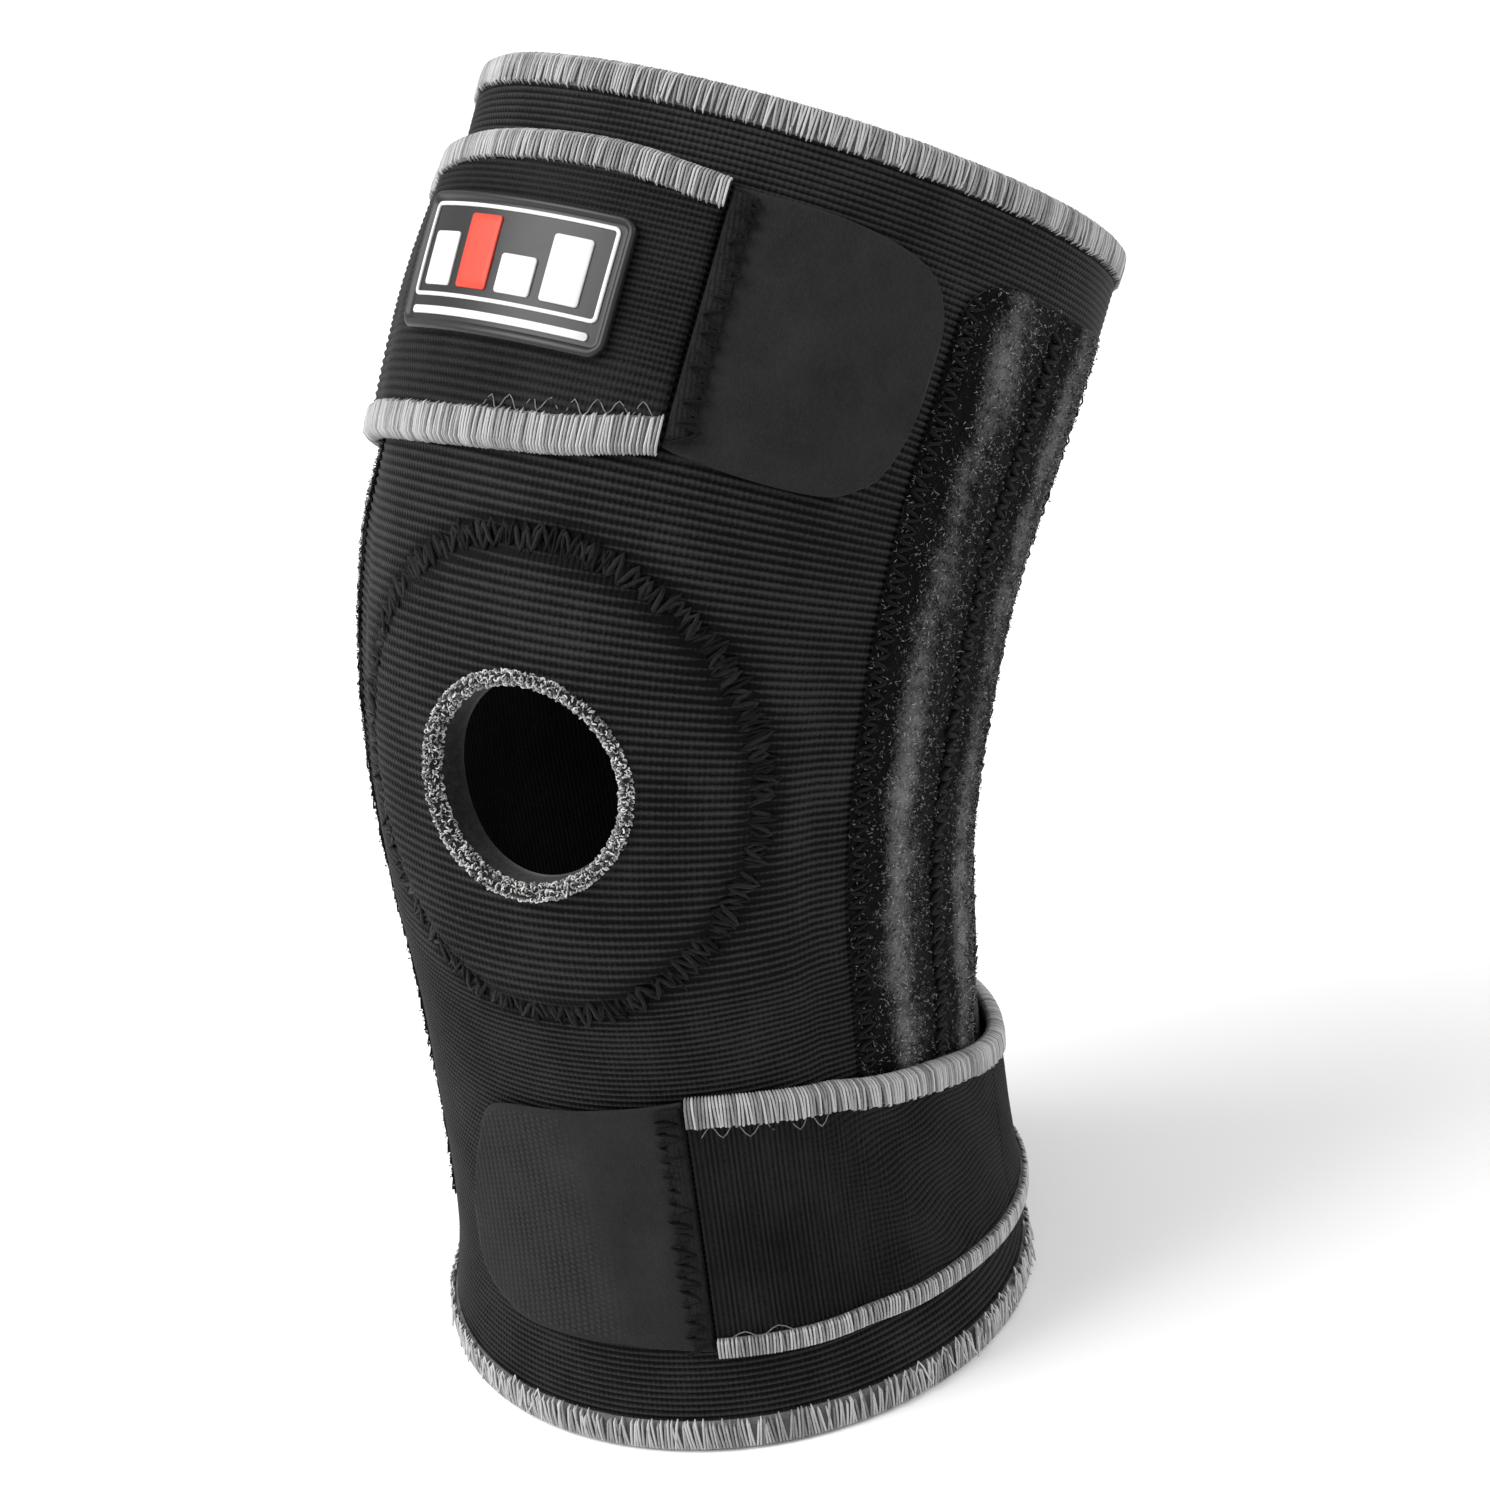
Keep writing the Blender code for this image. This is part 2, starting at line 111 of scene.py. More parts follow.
def swell(phi, s):
    """Soft unevenness of used foam, pressed in by the straps: how far it stands off the plain form."""
    a = np.radians(phi)
    slow = 0.00045 * np.sin(2.3 * a + 31 * s) * np.sin(43 * s + 1.1)
    crease = peak(phi + 900 * (s - 0.094), 44, 9) * peak(s, 0.094, 0.010)
    folds = np.sin(s * 2 * np.pi / 0.0115 + 1.5 * np.sin(3 * a)) * eased(np.abs(phi), 112, 140)
    folds = folds * peak(s, 0.143, 0.026)
    upper = between(phi, -132, -108, -64, -42) * between(s, 0.164, 0.186, 0.228, 0.246)
    lower = between(phi, 42, 66, 108, 132) * between(s, 0.006, 0.020, 0.066, 0.084)
    top = between(phi, -140, -100, -62, -24) * eased(s, 0.200, 0.250)
    pulled = peak(np.abs(phi), 53.5, 3.4) * between(s, 0.062, 0.088, 0.150, 0.180)
    pressed = 0.0021 * upper + 0.0014 * lower + 0.0038 * top + 0.0010 * pulled
    return slow - 0.0011 * crease + 0.0007 * folds - pressed


def on_leg(phi, s, w=0.0):
    """Points of the pattern (phi, s) at height w above the outside of the wrap."""
    phi, s, w = np.broadcast_arrays(np.asarray(phi, float), np.asarray(s, float), np.asarray(w, float))
    last = len(HALF_WIDTHS) - 1
    at = np.clip(s / HEIGHT, 0, 1) * last
    i = np.minimum(at.astype(int), last - 1)
    width = curve_through(*(HALF_WIDTHS[np.clip(i + k, 0, last)] for k in (-1, 0, 1, 2)), at - i)
    radius = (BEND_HIGH - BEND_LOW) / BEND
    angle = np.clip((s - BEND_LOW) / radius, 0, BEND)[..., None]
    up = np.array([0.0, 0.0, 1.0])
    lean = np.array([math.sin(HEADING), math.cos(HEADING), 0.0])
    turn = np.cross(up, lean)
    middle = (np.minimum(s, BEND_LOW)[..., None] * up + radius * (1 - np.cos(angle)) * lean
              + radius * np.sin(angle) * up)
    middle = middle + np.maximum(s - BEND_HIGH, 0)[..., None] * (np.sin(angle) * lean + np.cos(angle) * up)

    def tilted(v):
        v = np.array(v)
        along = turn * turn.dot(v) * (1 - np.cos(angle))
        return v * np.cos(angle) + np.cross(turn, v) * np.sin(angle) + along

    side, back = tilted([1.0, 0.0, 0.0]), tilted([0.0, 1.0, 0.0])
    a = np.radians(phi)[..., None]
    depth = FRONT_DEPTH * (1 + np.cos(a)) / 2 + BACK_DEPTH * (1 - np.cos(a)) / 2
    out = side * np.sin(a) * depth - back * np.cos(a)
    out = out / np.linalg.norm(out, axis=-1, keepdims=True)
    ring = (side * np.sin(a) - back * np.cos(a) * depth) * width[..., None]
    return middle + ring + out * (w + swell(phi, s))[..., None] - ORIGIN


def back_edge(s):
    """Angle of the wrap's back edge; the opening widens behind the knee."""
    return BACK_EDGE - RELIEF * (1 - eased(np.abs(np.asarray(s) - RELIEF_MIDDLE), 0.0, RELIEF_HALF))


def mesh_object(name, points, faces, pattern=None, **values):
    """Smooth-shaded object from points and faces, with its flat pattern as a UV map."""
    mesh = bpy.data.meshes.new(name)
    mesh.from_pydata([tuple(p) for p in np.asarray(points).reshape(-1, 3)], [], faces)
    mesh.polygons.foreach_set("use_smooth", [True] * len(mesh.polygons))
    if pattern is not None:
        flat = np.asarray(pattern, float).reshape(-1, 2)
        corners = np.empty(len(mesh.loops), int)
        mesh.loops.foreach_get("vertex_index", corners)
        mesh.uv_layers.new(name="Pattern").data.foreach_set("uv", flat[corners].ravel())
    for label, numbers in values.items():
        attribute = mesh.attributes.new(label, "FLOAT", "POINT")
        attribute.data.foreach_set("value", np.asarray(numbers, np.float32).ravel())
    obj = bpy.data.objects.new(name, mesh)
    bpy.context.collection.objects.link(obj)
    return obj


def skin(rows, columns, ring=False):
    """Quads of a loft of closed loops; rows of them, each with `columns` points."""
    steps = rows if ring else rows - 1
    j = np.arange(columns)
    k = (j + 1) % columns
    faces = []
    for r in range(steps):
        a, b = r * columns, ((r + 1) % rows) * columns
        faces += np.stack([a + j, b + j, b + k, a + k], 1).tolist()
    return faces


def caps(rows, columns):
    """End faces of a loft of closed loops."""
    return [list(range(columns)), list(range(rows * columns - 1, (rows - 1) * columns - 1, -1))]


def outward(obj):
    """Turn every face of a closed piece outward."""
    bm = bmesh.new()
    bm.from_mesh(obj.data)
    bmesh.ops.recalc_face_normals(bm, faces=bm.faces)
    if bm.calc_volume(signed=True) < 0:
        bmesh.ops.reverse_faces(bm, faces=bm.faces)
    bm.to_mesh(obj.data)
    bm.free()
    return obj


def new_tree(name, sizes):
    """Geometry Nodes tree with its geometry sockets and named inputs."""
    tree = bpy.data.node_groups.new(name, "GeometryNodeTree")
    tree.interface.new_socket("Geometry", in_out="INPUT", socket_type="NodeSocketGeometry")
    for label, kind, value in sizes:
        socket = tree.interface.new_socket(label, in_out="INPUT", socket_type="NodeSocket" + kind)
        if value is not None:
            socket.default_value = value
    tree.interface.new_socket("Material", in_out="INPUT", socket_type="NodeSocketMaterial")
    tree.interface.new_socket("Geometry", in_out="OUTPUT", socket_type="NodeSocketGeometry")
    return tree, tree.nodes.new("NodeGroupInput")


def add(tree, kind, sockets=(), out=0, **settings):
    """Add a node, set or link its inputs, and give back one output."""
    node = tree.nodes.new(kind)
    for key, value in settings.items():
        setattr(node, key, value)
    for key, value in dict(sockets).items():
        if isinstance(value, bpy.types.NodeSocket):
            tree.links.new(value, node.inputs[key])
        else:
            node.inputs[key].default_value = value
    return node.outputs[out]


def sum_up(tree, operation, a, b=0.0, c=0.0):
    """Math node."""
    return add(tree, "ShaderNodeMath", {0: a, 1: b, 2: c}, operation=operation)


def vector_sum(tree, operation, a, b):
    """Vector Math node of two vectors, or of a vector and a scale."""
    key = "Scale" if operation == "SCALE" else 1
    return add(tree, "ShaderNodeVectorMath", {0: a, key: b}, operation=operation)


def close_tree(tree, group, geometry):
    """End the tree in Realize Instances and Set Material."""
    real = add(tree, "GeometryNodeRealizeInstances", {"Geometry": geometry})
    done = add(tree, "GeometryNodeSetMaterial", {"Geometry": real, "Material": group.outputs["Material"]})
    tree.links.new(done, tree.nodes.new("NodeGroupOutput").inputs[0])
    return tree


def grown(obj, tree, name, material, **sizes):
    """Run a tree on an object and keep the result as a plain mesh."""
    modifier = obj.modifiers.new("grow", "NODES")
    modifier.node_group = tree
    named = {label.replace("_", " "): value for label, value in sizes.items()}
    named["Material"] = material
    for item in tree.interface.items_tree:
        if item.in_out == "INPUT" and item.name in named:
            modifier[item.identifier] = named[item.name]
    graph = bpy.context.evaluated_depsgraph_get()
    mesh = bpy.data.meshes.new_from_object(obj.evaluated_get(graph), depsgraph=graph)
    made = bpy.data.objects.new(name, mesh)
    bpy.context.collection.objects.link(made)
    obj.modifiers.remove(modifier)
    bpy.data.objects.remove(obj, do_unlink=True)
    return made


# Knitted courses: each rib of the jersey stands up along the surface's own normal.
# The pieces carry "rib" (0 in a valley, 1 on a crest) and "nap" (1 where the cloth is knitted).
ribs, inputs = new_tree("knitted_ribs", [("Height", "Float", 0.0004), ("Unevenness", "Float", 0.25)])
crest = add(ribs, "GeometryNodeInputNamedAttribute", {"Name": "rib"}, data_type="FLOAT")
nap = add(ribs, "GeometryNodeInputNamedAttribute", {"Name": "nap"}, data_type="FLOAT")
rough = add(ribs, "ShaderNodeTexNoise", {"Scale": 160.0, "Detail": 2.0}, noise_dimensions="3D")
rough = sum_up(ribs, "MULTIPLY", sum_up(ribs, "SUBTRACT", rough, 0.5), inputs.outputs["Unevenness"])
rise = sum_up(ribs, "MULTIPLY_ADD", rough, nap, crest)
rise = sum_up(ribs, "MULTIPLY", rise, inputs.outputs["Height"])
along = vector_sum(ribs, "SCALE", add(ribs, "GeometryNodeInputNormal"), rise)
raised = add(ribs, "GeometryNodeSetPosition", {"Geometry": inputs.outputs[0], "Offset": along})
close_tree(ribs, inputs, raised)


def cloth(name, dark, light, roughness, sheen, pattern=(), fuzz=0.00012, mottle=60.0, by=()):
    """Cloth: mottled colour, woven lines from the flat pattern with painted shade in their hollows, a fuzzy
    surface, and tone, painted shade and painted highlight by attribute.
    """
    made = bpy.data.materials.new(name)
    made.use_nodes = True
    tree = made.node_tree
    shader = tree.nodes["Principled BSDF"]
    shader.inputs["Roughness"].default_value = roughness
    shader.inputs["Sheen Weight"].default_value = sheen
    shader.inputs["Sheen Roughness"].default_value = 0.45
    shader.inputs["Sheen Tint"].default_value = (0.75, 0.76, 0.78, 1.0)
    shader.inputs["Specular IOR Level"].default_value = 0.05
    place = add(tree, "ShaderNodeTexCoord", out=3)
    patch = add(tree, "ShaderNodeTexNoise", {"Vector": place, "Scale": mottle, "Detail": 5.0,
                                             "Roughness": 0.6})
    fibre = add(tree, "ShaderNodeTexNoise", {"Vector": place, "Scale": 1900.0, "Detail": 3.0,
                                             "Roughness": 0.7})
    mix = sum_up(tree, "MULTIPLY_ADD", fibre, 0.55, sum_up(tree, "MULTIPLY", patch, 0.45))
    height = sum_up(tree, "MULTIPLY", fibre, fuzz)
    if pattern:
        flat = add(tree, "ShaderNodeUVMap", uv_map="Pattern")
        parts = tree.nodes.new("ShaderNodeSeparateXYZ")
        tree.links.new(flat, parts.inputs[0])
        # Each woven line is painted lighter where it stands up and darker in its hollow: painted shade.
        for axis, pitch, depth, shade in pattern:
            turns = sum_up(tree, "MULTIPLY", parts.outputs[axis], 2 * math.pi / pitch)
            line = sum_up(tree, "COSINE", turns)
            height = sum_up(tree, "MULTIPLY_ADD", line, depth, height)
            mix = sum_up(tree, "MULTIPLY_ADD", line, shade, mix)
    for label, shade in by:
        value = add(tree, "ShaderNodeAttribute", out="Fac", attribute_name=label)
        mix = sum_up(tree, "MULTIPLY_ADD", value, shade, mix)
    ramp = tree.nodes.new("ShaderNodeValToRGB")
    ramp.color_ramp.elements[0].position, ramp.color_ramp.elements[1].position = 0.30, 0.72
    ramp.color_ramp.elements[0].color = (*dark, 1)
    ramp.color_ramp.elements[1].color = (*light, 1)
    tree.links.new(mix, ramp.inputs[0])
    tree.links.new(ramp.outputs[0], shader.inputs["Base Color"])
    bump = add(tree, "ShaderNodeBump", {"Height": height, "Distance": 1.0, "Strength": 1.0})
    tree.links.new(bump, shader.inputs["Normal"])
    return made


# Painted shade: the jersey is painted darker in its rib valleys and lighter on the crests, darker between its
# woven lines, and darker in a band round the sewn circle.
jersey = cloth("ribbed_jersey", (0.0018, 0.0018, 0.0019), (0.0260, 0.0260, 0.0266), 0.62, 0.012,
               pattern=((0, 0.0011, 0.00005, 0.04),), fuzz=0.00010,
               by=(("rib", 0.60), ("nap", -0.35), ("groove", -0.45)))


def bends_at_knee(piece, slot, *nodes):
    """Bake the piece in place and hide the CAD nodes it stands for."""
    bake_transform(piece)
    if nodes:
        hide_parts(*nodes)


def hole_distance(phi, s):
    """Below 1 inside the kneecap opening."""
    return np.hypot(phi / HOLE_PHI, (s - HOLE_MIDDLE) / HOLE_HALF)


def circle_distance(phi, s):
    """1 on the sewn circle round the kneecap, below 1 inside it."""
    return np.hypot(phi / CIRCLE_PHI, (s - CIRCLE_MIDDLE) / CIRCLE_HALF)


def wrap_relief(phi, s):
    """The sewn circle pulls a sunken ring round the pad, and the pad lifts what is inside it."""
    ring = circle_distance(phi, s)
    return 0.0012 * (1 - eased(ring, 0.90, 1.02)) - 0.0007 * peak(ring, 1.0, 0.055)


turns = np.unique(np.concatenate([np.linspace(-1, -FRONT_SHARE, SIDE_COLUMNS),
                                  np.linspace(-FRONT_SHARE, FRONT_SHARE, FRONT_COLUMNS),
                                  np.linspace(FRONT_SHARE, 1, SIDE_COLUMNS)]))
segments = round((HEIGHT - 2 * EDGE_ROOM) / RIB_PITCH * RIB_ROWS / LINING_SKIP)
levels = np.linspace(EDGE_ROOM, HEIGHT - EDGE_ROOM, segments * LINING_SKIP + 1)
inner = levels[::-LINING_SKIP]
loop_s = np.concatenate([levels, inner])
loop_w = np.concatenate([np.zeros(len(levels)), np.full(len(inner), -FOAM)])
phi_grid = turns[:, None] * back_edge(loop_s)[None, :]
s_grid = np.broadcast_to(loop_s, phi_grid.shape)
w_grid = np.broadcast_to(loop_w, phi_grid.shape)
outside = w_grid > -0.001
points = on_leg(phi_grid, s_grid, w_grid + wrap_relief(phi_grid, s_grid))
count = len(loop_s)
faces = skin(len(turns), count)
for end, flip in ((0, 1), ((len(turns) - 1) * count, -1)):
    for k in range(segments):
        front = [end + i for i in range(k * LINING_SKIP, (k + 1) * LINING_SKIP + 1)]
        rear = [end + count - 1 - k - 1, end + count - 1 - k]
        faces.append((front + rear)[::flip])
middle_phi = np.array([phi_grid.ravel()[f].mean() for f in faces])
middle_s = np.array([s_grid.ravel()[f].mean() for f in faces])
keep = hole_distance(middle_phi, middle_s) > 1.0
faces = [f for f, kept in zip(faces, keep) if kept]
pattern = np.stack([np.radians(phi_grid) * RADIUS, s_grid], -1)
nap = outside * eased(hole_distance(phi_grid, s_grid), 1.0, 1.15)
courses = nap * (0.5 + 0.5 * np.cos(s_grid * 2 * np.pi / RIB_PITCH))
# Painted shade: the jersey is painted darker in a band along the sunken ring where the circle is sewn.
groove = outside * peak(circle_distance(phi_grid, s_grid), 1.0, 0.075)
wrap = mesh_object("wrap", points, faces, pattern, rib=courses, nap=nap, groove=groove)
bm = bmesh.new()
bm.from_mesh(wrap.data)
bmesh.ops.delete(bm, geom=[v for v in bm.verts if not v.link_faces], context="VERTS")
bmesh.ops.bridge_loops(bm, edges=[e for e in bm.edges if e.is_boundary])
bm.to_mesh(wrap.data)
bm.free()
wrap = grown(outward(wrap), ribs, "neoprene_wrap", jersey, Height=RIB_HEIGHT)
bends_at_knee(wrap, "knit", "calf_panel", "knee_panel", "thigh_panel")

# ---------------------------------------------------------------------------------------------
# Edge tape. Grey folded tape on the hem, the top edge and both back edges, whipped over with
# pale yarn: hundreds of short strands laid across the fold, none quite straight.
# ---------------------------------------------------------------------------------------------
GAP, TAPE = 0.00035, 0.0005
HEM_BAND, TOP_BAND, BACK_BAND = 0.0060, 0.0052, 0.0065
WHIP_PITCH, YARN = 0.00068, 0.00028

tape_cloth = cloth("grey_tape", (0.045, 0.045, 0.046), (0.16, 0.16, 0.162), 0.85, 0.1, mottle=220.0)


def yarn_look(name, dark, light, roughness=0.85, sheen=0.2, by=()):
    """Spun yarn: each strand has its own shade, with dark and light fibres along it."""
    made = cloth(name, dark, light, roughness, sheen, fuzz=0.00006, mottle=500.0, by=by)
    tree = made.node_tree
    shade = add(tree, "ShaderNodeAttribute", out="Fac", attribute_name="shade")
    ramp = next(n for n in tree.nodes if n.type == "VALTORGB")
    mix = ramp.inputs[0].links[0].from_socket
    mix = sum_up(tree, "MULTIPLY_ADD", shade, 0.45, sum_up(tree, "MULTIPLY_ADD", mix, 0.45, 0.10))
    tree.links.new(mix, ramp.inputs[0])
    return made


pale_yarn = yarn_look("pale_yarn", (0.13, 0.13, 0.13), (0.42, 0.42, 0.42))

# Strands laid side by side along an edge.
whip, inputs = new_tree("whipped_edge", [("Pitch", "Float", 0.001), ("Skew", "Float", 0.2),
                                         ("Uneven", "Float", 0.15), ("Strand", "Object", None),
                                         ("Seed", "Int", 3)])


def drawn(tree, low, high, seed, shift, vector=False):
    """Random value between low and high."""
    base = 0 if vector else 2
    number = add(tree, "FunctionNodeIntegerMath", {0: seed, 1: shift}, operation="ADD")
    return add(tree, "FunctionNodeRandomValue", {base: low, base + 1: high, 8: number},
               out=0 if vector else 1, data_type="FLOAT_VECTOR" if vector else "FLOAT")


def framed(tree):
    """Rotation that turns Y to the "across" attribute and Z to the "rise" attribute."""
    y = add(tree, "GeometryNodeInputNamedAttribute", {"Name": "across"}, data_type="FLOAT_VECTOR")
    z = add(tree, "GeometryNodeInputNamedAttribute", {"Name": "rise"}, data_type="FLOAT_VECTOR")
    up = add(tree, "FunctionNodeAlignRotationToVector", {"Vector": z}, axis="Z")
    return add(tree, "FunctionNodeAlignRotationToVector", {"Rotation": up, "Vector": y}, axis="Y",
               pivot_axis="Z")


def shaded(tree, geometry, seed):
    """Give each instance its own shade."""
    node = tree.nodes.new("GeometryNodeStoreNamedAttribute")
    node.data_type, node.domain = "FLOAT", "INSTANCE"
    node.inputs["Name"].default_value = "shade"
    tree.links.new(geometry, node.inputs["Geometry"])
    value = next(s for s in node.inputs if s.name == "Value" and s.enabled)
    tree.links.new(drawn(tree, 0.0, 1.0, seed, 11), value)
    return node.outputs[0]


seed = inputs.outputs["Seed"]
line = add(whip, "GeometryNodeMeshToCurve", {"Mesh": inputs.outputs[0]})
line = add(whip, "GeometryNodeResampleCurve", {"Curve": line, "Length": inputs.outputs["Pitch"]},
           mode="LENGTH")
strand = add(whip, "GeometryNodeObjectInfo", {"Object": inputs.outputs["Strand"]}, out="Geometry")
lean = drawn(whip, -1.0, 1.0, seed, 1)
lean = add(whip, "ShaderNodeCombineXYZ", {"Z": sum_up(whip, "MULTIPLY", lean, inputs.outputs["Skew"])})
pose = add(whip, "FunctionNodeRotateRotation", {"Rotation": framed(whip), "Rotate By": lean},
           rotation_space="LOCAL")
stretch = sum_up(whip, "MULTIPLY_ADD", drawn(whip, -1.0, 1.0, seed, 2), inputs.outputs["Uneven"], 1.0)
reach = add(whip, "GeometryNodeInputNamedAttribute", {"Name": "reach"}, data_type="FLOAT")
size = add(whip, "ShaderNodeCombineXYZ", {"X": 1.0, "Y": sum_up(whip, "MULTIPLY", stretch, reach), "Z": 1.0})
laid = add(whip, "GeometryNodeInstanceOnPoints", {"Points": line, "Instance": strand, "Rotation": pose,
                                                   "Scale": size})
close_tree(whip, inputs, shaded(whip, laid, seed))


def guide(phi, s, w, in_phi, in_s, ring=False):
    """Line on the leg that carries the directions across the edge and away from the leg."""
    here = on_leg(phi, s, w)
    step = 0.0006
    across = on_leg(phi + in_phi * step, s + in_s * step, w) - here
    rise = on_leg(phi, s, w + step) - here
    count = len(here)
    links = [(i, i + 1) for i in range(count - 1)] + ([(count - 1, 0)] if ring else [])
    mesh = bpy.data.meshes.new("guide")
    mesh.from_pydata([tuple(p) for p in here], links, [])
    reach = (np.linalg.norm(across, axis=1) / step).astype(np.float32)
    mesh.attributes.new("reach", "FLOAT", "POINT").data.foreach_set("value", reach)
    for label, vectors in (("across", across), ("rise", rise)):
        unit = vectors / np.linalg.norm(vectors, axis=1, keepdims=True)
        mesh.attributes.new(label, "FLOAT_VECTOR", "POINT").data.foreach_set("vector", unit.ravel())
    obj = bpy.data.objects.new("guide", mesh)
    bpy.context.collection.objects.link(obj)
    return obj


def strand_of(path, thick, sides=5):
    """Yarn strand along a path of (across, rise) points, with closed ends."""
    path = np.array(path, float)
    ahead = np.gradient(path, axis=0)
    ahead /= np.linalg.norm(ahead, axis=1, keepdims=True)
    points = []
    for (y, z), (ty, tz), k in zip(path, ahead, range(len(path))):
        r = thick * (0.45 if k in (0, len(path) - 1) else 1.0)
        for j in range(sides):
            a = 2 * math.pi * j / sides
            points.append((r * math.cos(a), y - tz * r * math.sin(a), z + ty * r * math.sin(a)))
    made = mesh_object("strand", points, skin(len(path), sides) + caps(len(path), sides))
    return outward(made)


def fold_strand(band, thick_cloth, inside=True):
    """Path of one whip strand: over the outer leg, round the fold and back on the inside."""
    out, turn, deep = TAPE * 1.3, -GAP - TAPE - 0.0001, -thick_cloth - 2 * GAP - TAPE
    path = [(band * 1.03, -0.0001), (band * 0.93, out), (band * 0.4, out + 0.0001), (0.0, out - 0.0001),
            (turn * 0.75, -0.0005), (turn, (deep - 0.0005) / 2), (turn * 0.75, deep + 0.0001)]
    return path + [(0.0, deep - 0.0003), (band * 0.6, deep - 0.0002), (band * 0.85, deep + 0.0002)] * inside


def folded_tape(name, phi, s, in_phi, in_s, band, low, high):
    """Tape folded over an edge; low and high are the heights of the cloth's two faces."""
    low, high = np.broadcast_to(low, phi.shape), np.broadcast_to(high, phi.shape)
    e = GAP + TAPE
    zero = np.zeros_like(low)
    profile = [(band, high + GAP * 0.3), (band, high + GAP + TAPE * 0.6), (band * 0.6, high + GAP + TAPE),
               (0.0003, high + GAP + TAPE * 0.8), (-0.6 * e, high + GAP * 0.5), (-e, high - 0.0006),
               (-e, low + 0.0006), (-0.6 * e, low - GAP * 0.5), (0.0003, low - GAP - TAPE * 0.8),
               (band, low - GAP - TAPE * 0.8), (band, low - GAP * 0.3), (-GAP * 0.5, low - GAP * 0.3),
               (-GAP * 0.5, high + GAP * 0.3)]
    rows = np.stack([on_leg(phi + x * in_phi, s + x * in_s, w + zero) for x, w in profile], 1)
    far = np.concatenate([[0], np.cumsum(np.linalg.norm(np.diff(rows[:, 0], axis=0), axis=1))])
    flat = np.stack([np.broadcast_to(far[:, None], rows.shape[:2]),
                     np.broadcast_to(np.array([x for x, _ in profile]), rows.shape[:2])], -1)
    made = mesh_object(name, rows, skin(len(phi), len(profile)) + caps(len(phi), len(profile)), flat)
    made.data.materials.append(tape_cloth)
    return outward(made)


def whipping(name, phi, s, in_phi, in_s, band, high, thick_cloth, seed, skew=0.11, uneven=0.08,
             pitch=WHIP_PITCH, inside=True):
    """Strands over a folded edge, in one mesh."""
    thread = strand_of(fold_strand(band, thick_cloth, inside), YARN)
    line = guide(phi, s, high + GAP, in_phi, in_s)
    made = grown(line, whip, name, pale_yarn, Pitch=pitch, Skew=skew, Uneven=uneven, Strand=thread,
                 Seed=seed)
    bpy.data.objects.remove(thread, do_unlink=True)
    return made


# Zigzag seams: one thread that swings from side to side along a line.
zigzag, inputs = new_tree("zigzag_seam", [("Pitch", "Float", 0.003), ("Width", "Float", 0.004),
                                          ("Thread", "Float", 0.0003), ("Lift", "Float", 0.0001),
                                          ("Wander", "Float", 0.0003), ("Seed", "Int", 1)])
seed = inputs.outputs["Seed"]
line = add(zigzag, "GeometryNodeMeshToCurve", {"Mesh": inputs.outputs[0]})
half = sum_up(zigzag, "MULTIPLY", inputs.outputs["Pitch"], 0.5)
line = add(zigzag, "GeometryNodeResampleCurve", {"Curve": line, "Length": half}, mode="LENGTH")
number = add(zigzag, "GeometryNodeInputIndex")
swing = sum_up(zigzag, "MULTIPLY_ADD", sum_up(zigzag, "MODULO", number, 2.0), 1.0, -0.5)
across = add(zigzag, "GeometryNodeInputNamedAttribute", {"Name": "across"}, data_type="FLOAT_VECTOR")
rise = add(zigzag, "GeometryNodeInputNamedAttribute", {"Name": "rise"}, data_type="FLOAT_VECTOR")
swing = sum_up(zigzag, "MULTIPLY", swing, inputs.outputs["Width"])
move = vector_sum(zigzag, "ADD", vector_sum(zigzag, "SCALE", across, swing),
                  vector_sum(zigzag, "SCALE", rise, inputs.outputs["Lift"]))
jitter = drawn(zigzag, (-1.0, -1.0, -1.0), (1.0, 1.0, 1.0), seed, 5, vector=True)
jitter = vector_sum(zigzag, "SCALE", jitter, inputs.outputs["Wander"])
move = vector_sum(zigzag, "ADD", move, jitter)
line = add(zigzag, "GeometryNodeSetPosition", {"Geometry": line, "Offset": move})
line = add(zigzag, "GeometryNodeCurveSplineType", {"Curve": line}, spline_type="CATMULL_ROM")
line = add(zigzag, "GeometryNodeSetSplineResolution", {"Geometry": line, "Resolution": 3})
round_thread = add(zigzag, "GeometryNodeCurvePrimitiveCircle", {"Resolution": 5,
                                                                 "Radius": inputs.outputs["Thread"]})
line = add(zigzag, "GeometryNodeCurveToMesh", {"Curve": line, "Profile Curve": round_thread,
                                               "Fill Caps": True})
close_tree(zigzag, inputs, line)


def seam(name, phi, s, w, in_phi, in_s, material, pitch, width, thread, seed, wander=0.0002, ring=False):
    """Zigzag seam along a line of the pattern."""
    return grown(guide(phi, s, w, in_phi, in_s, ring), zigzag, name, material, Pitch=pitch, Width=width,
                 Thread=thread, Lift=thread * 0.6, Wander=wander, Seed=seed)


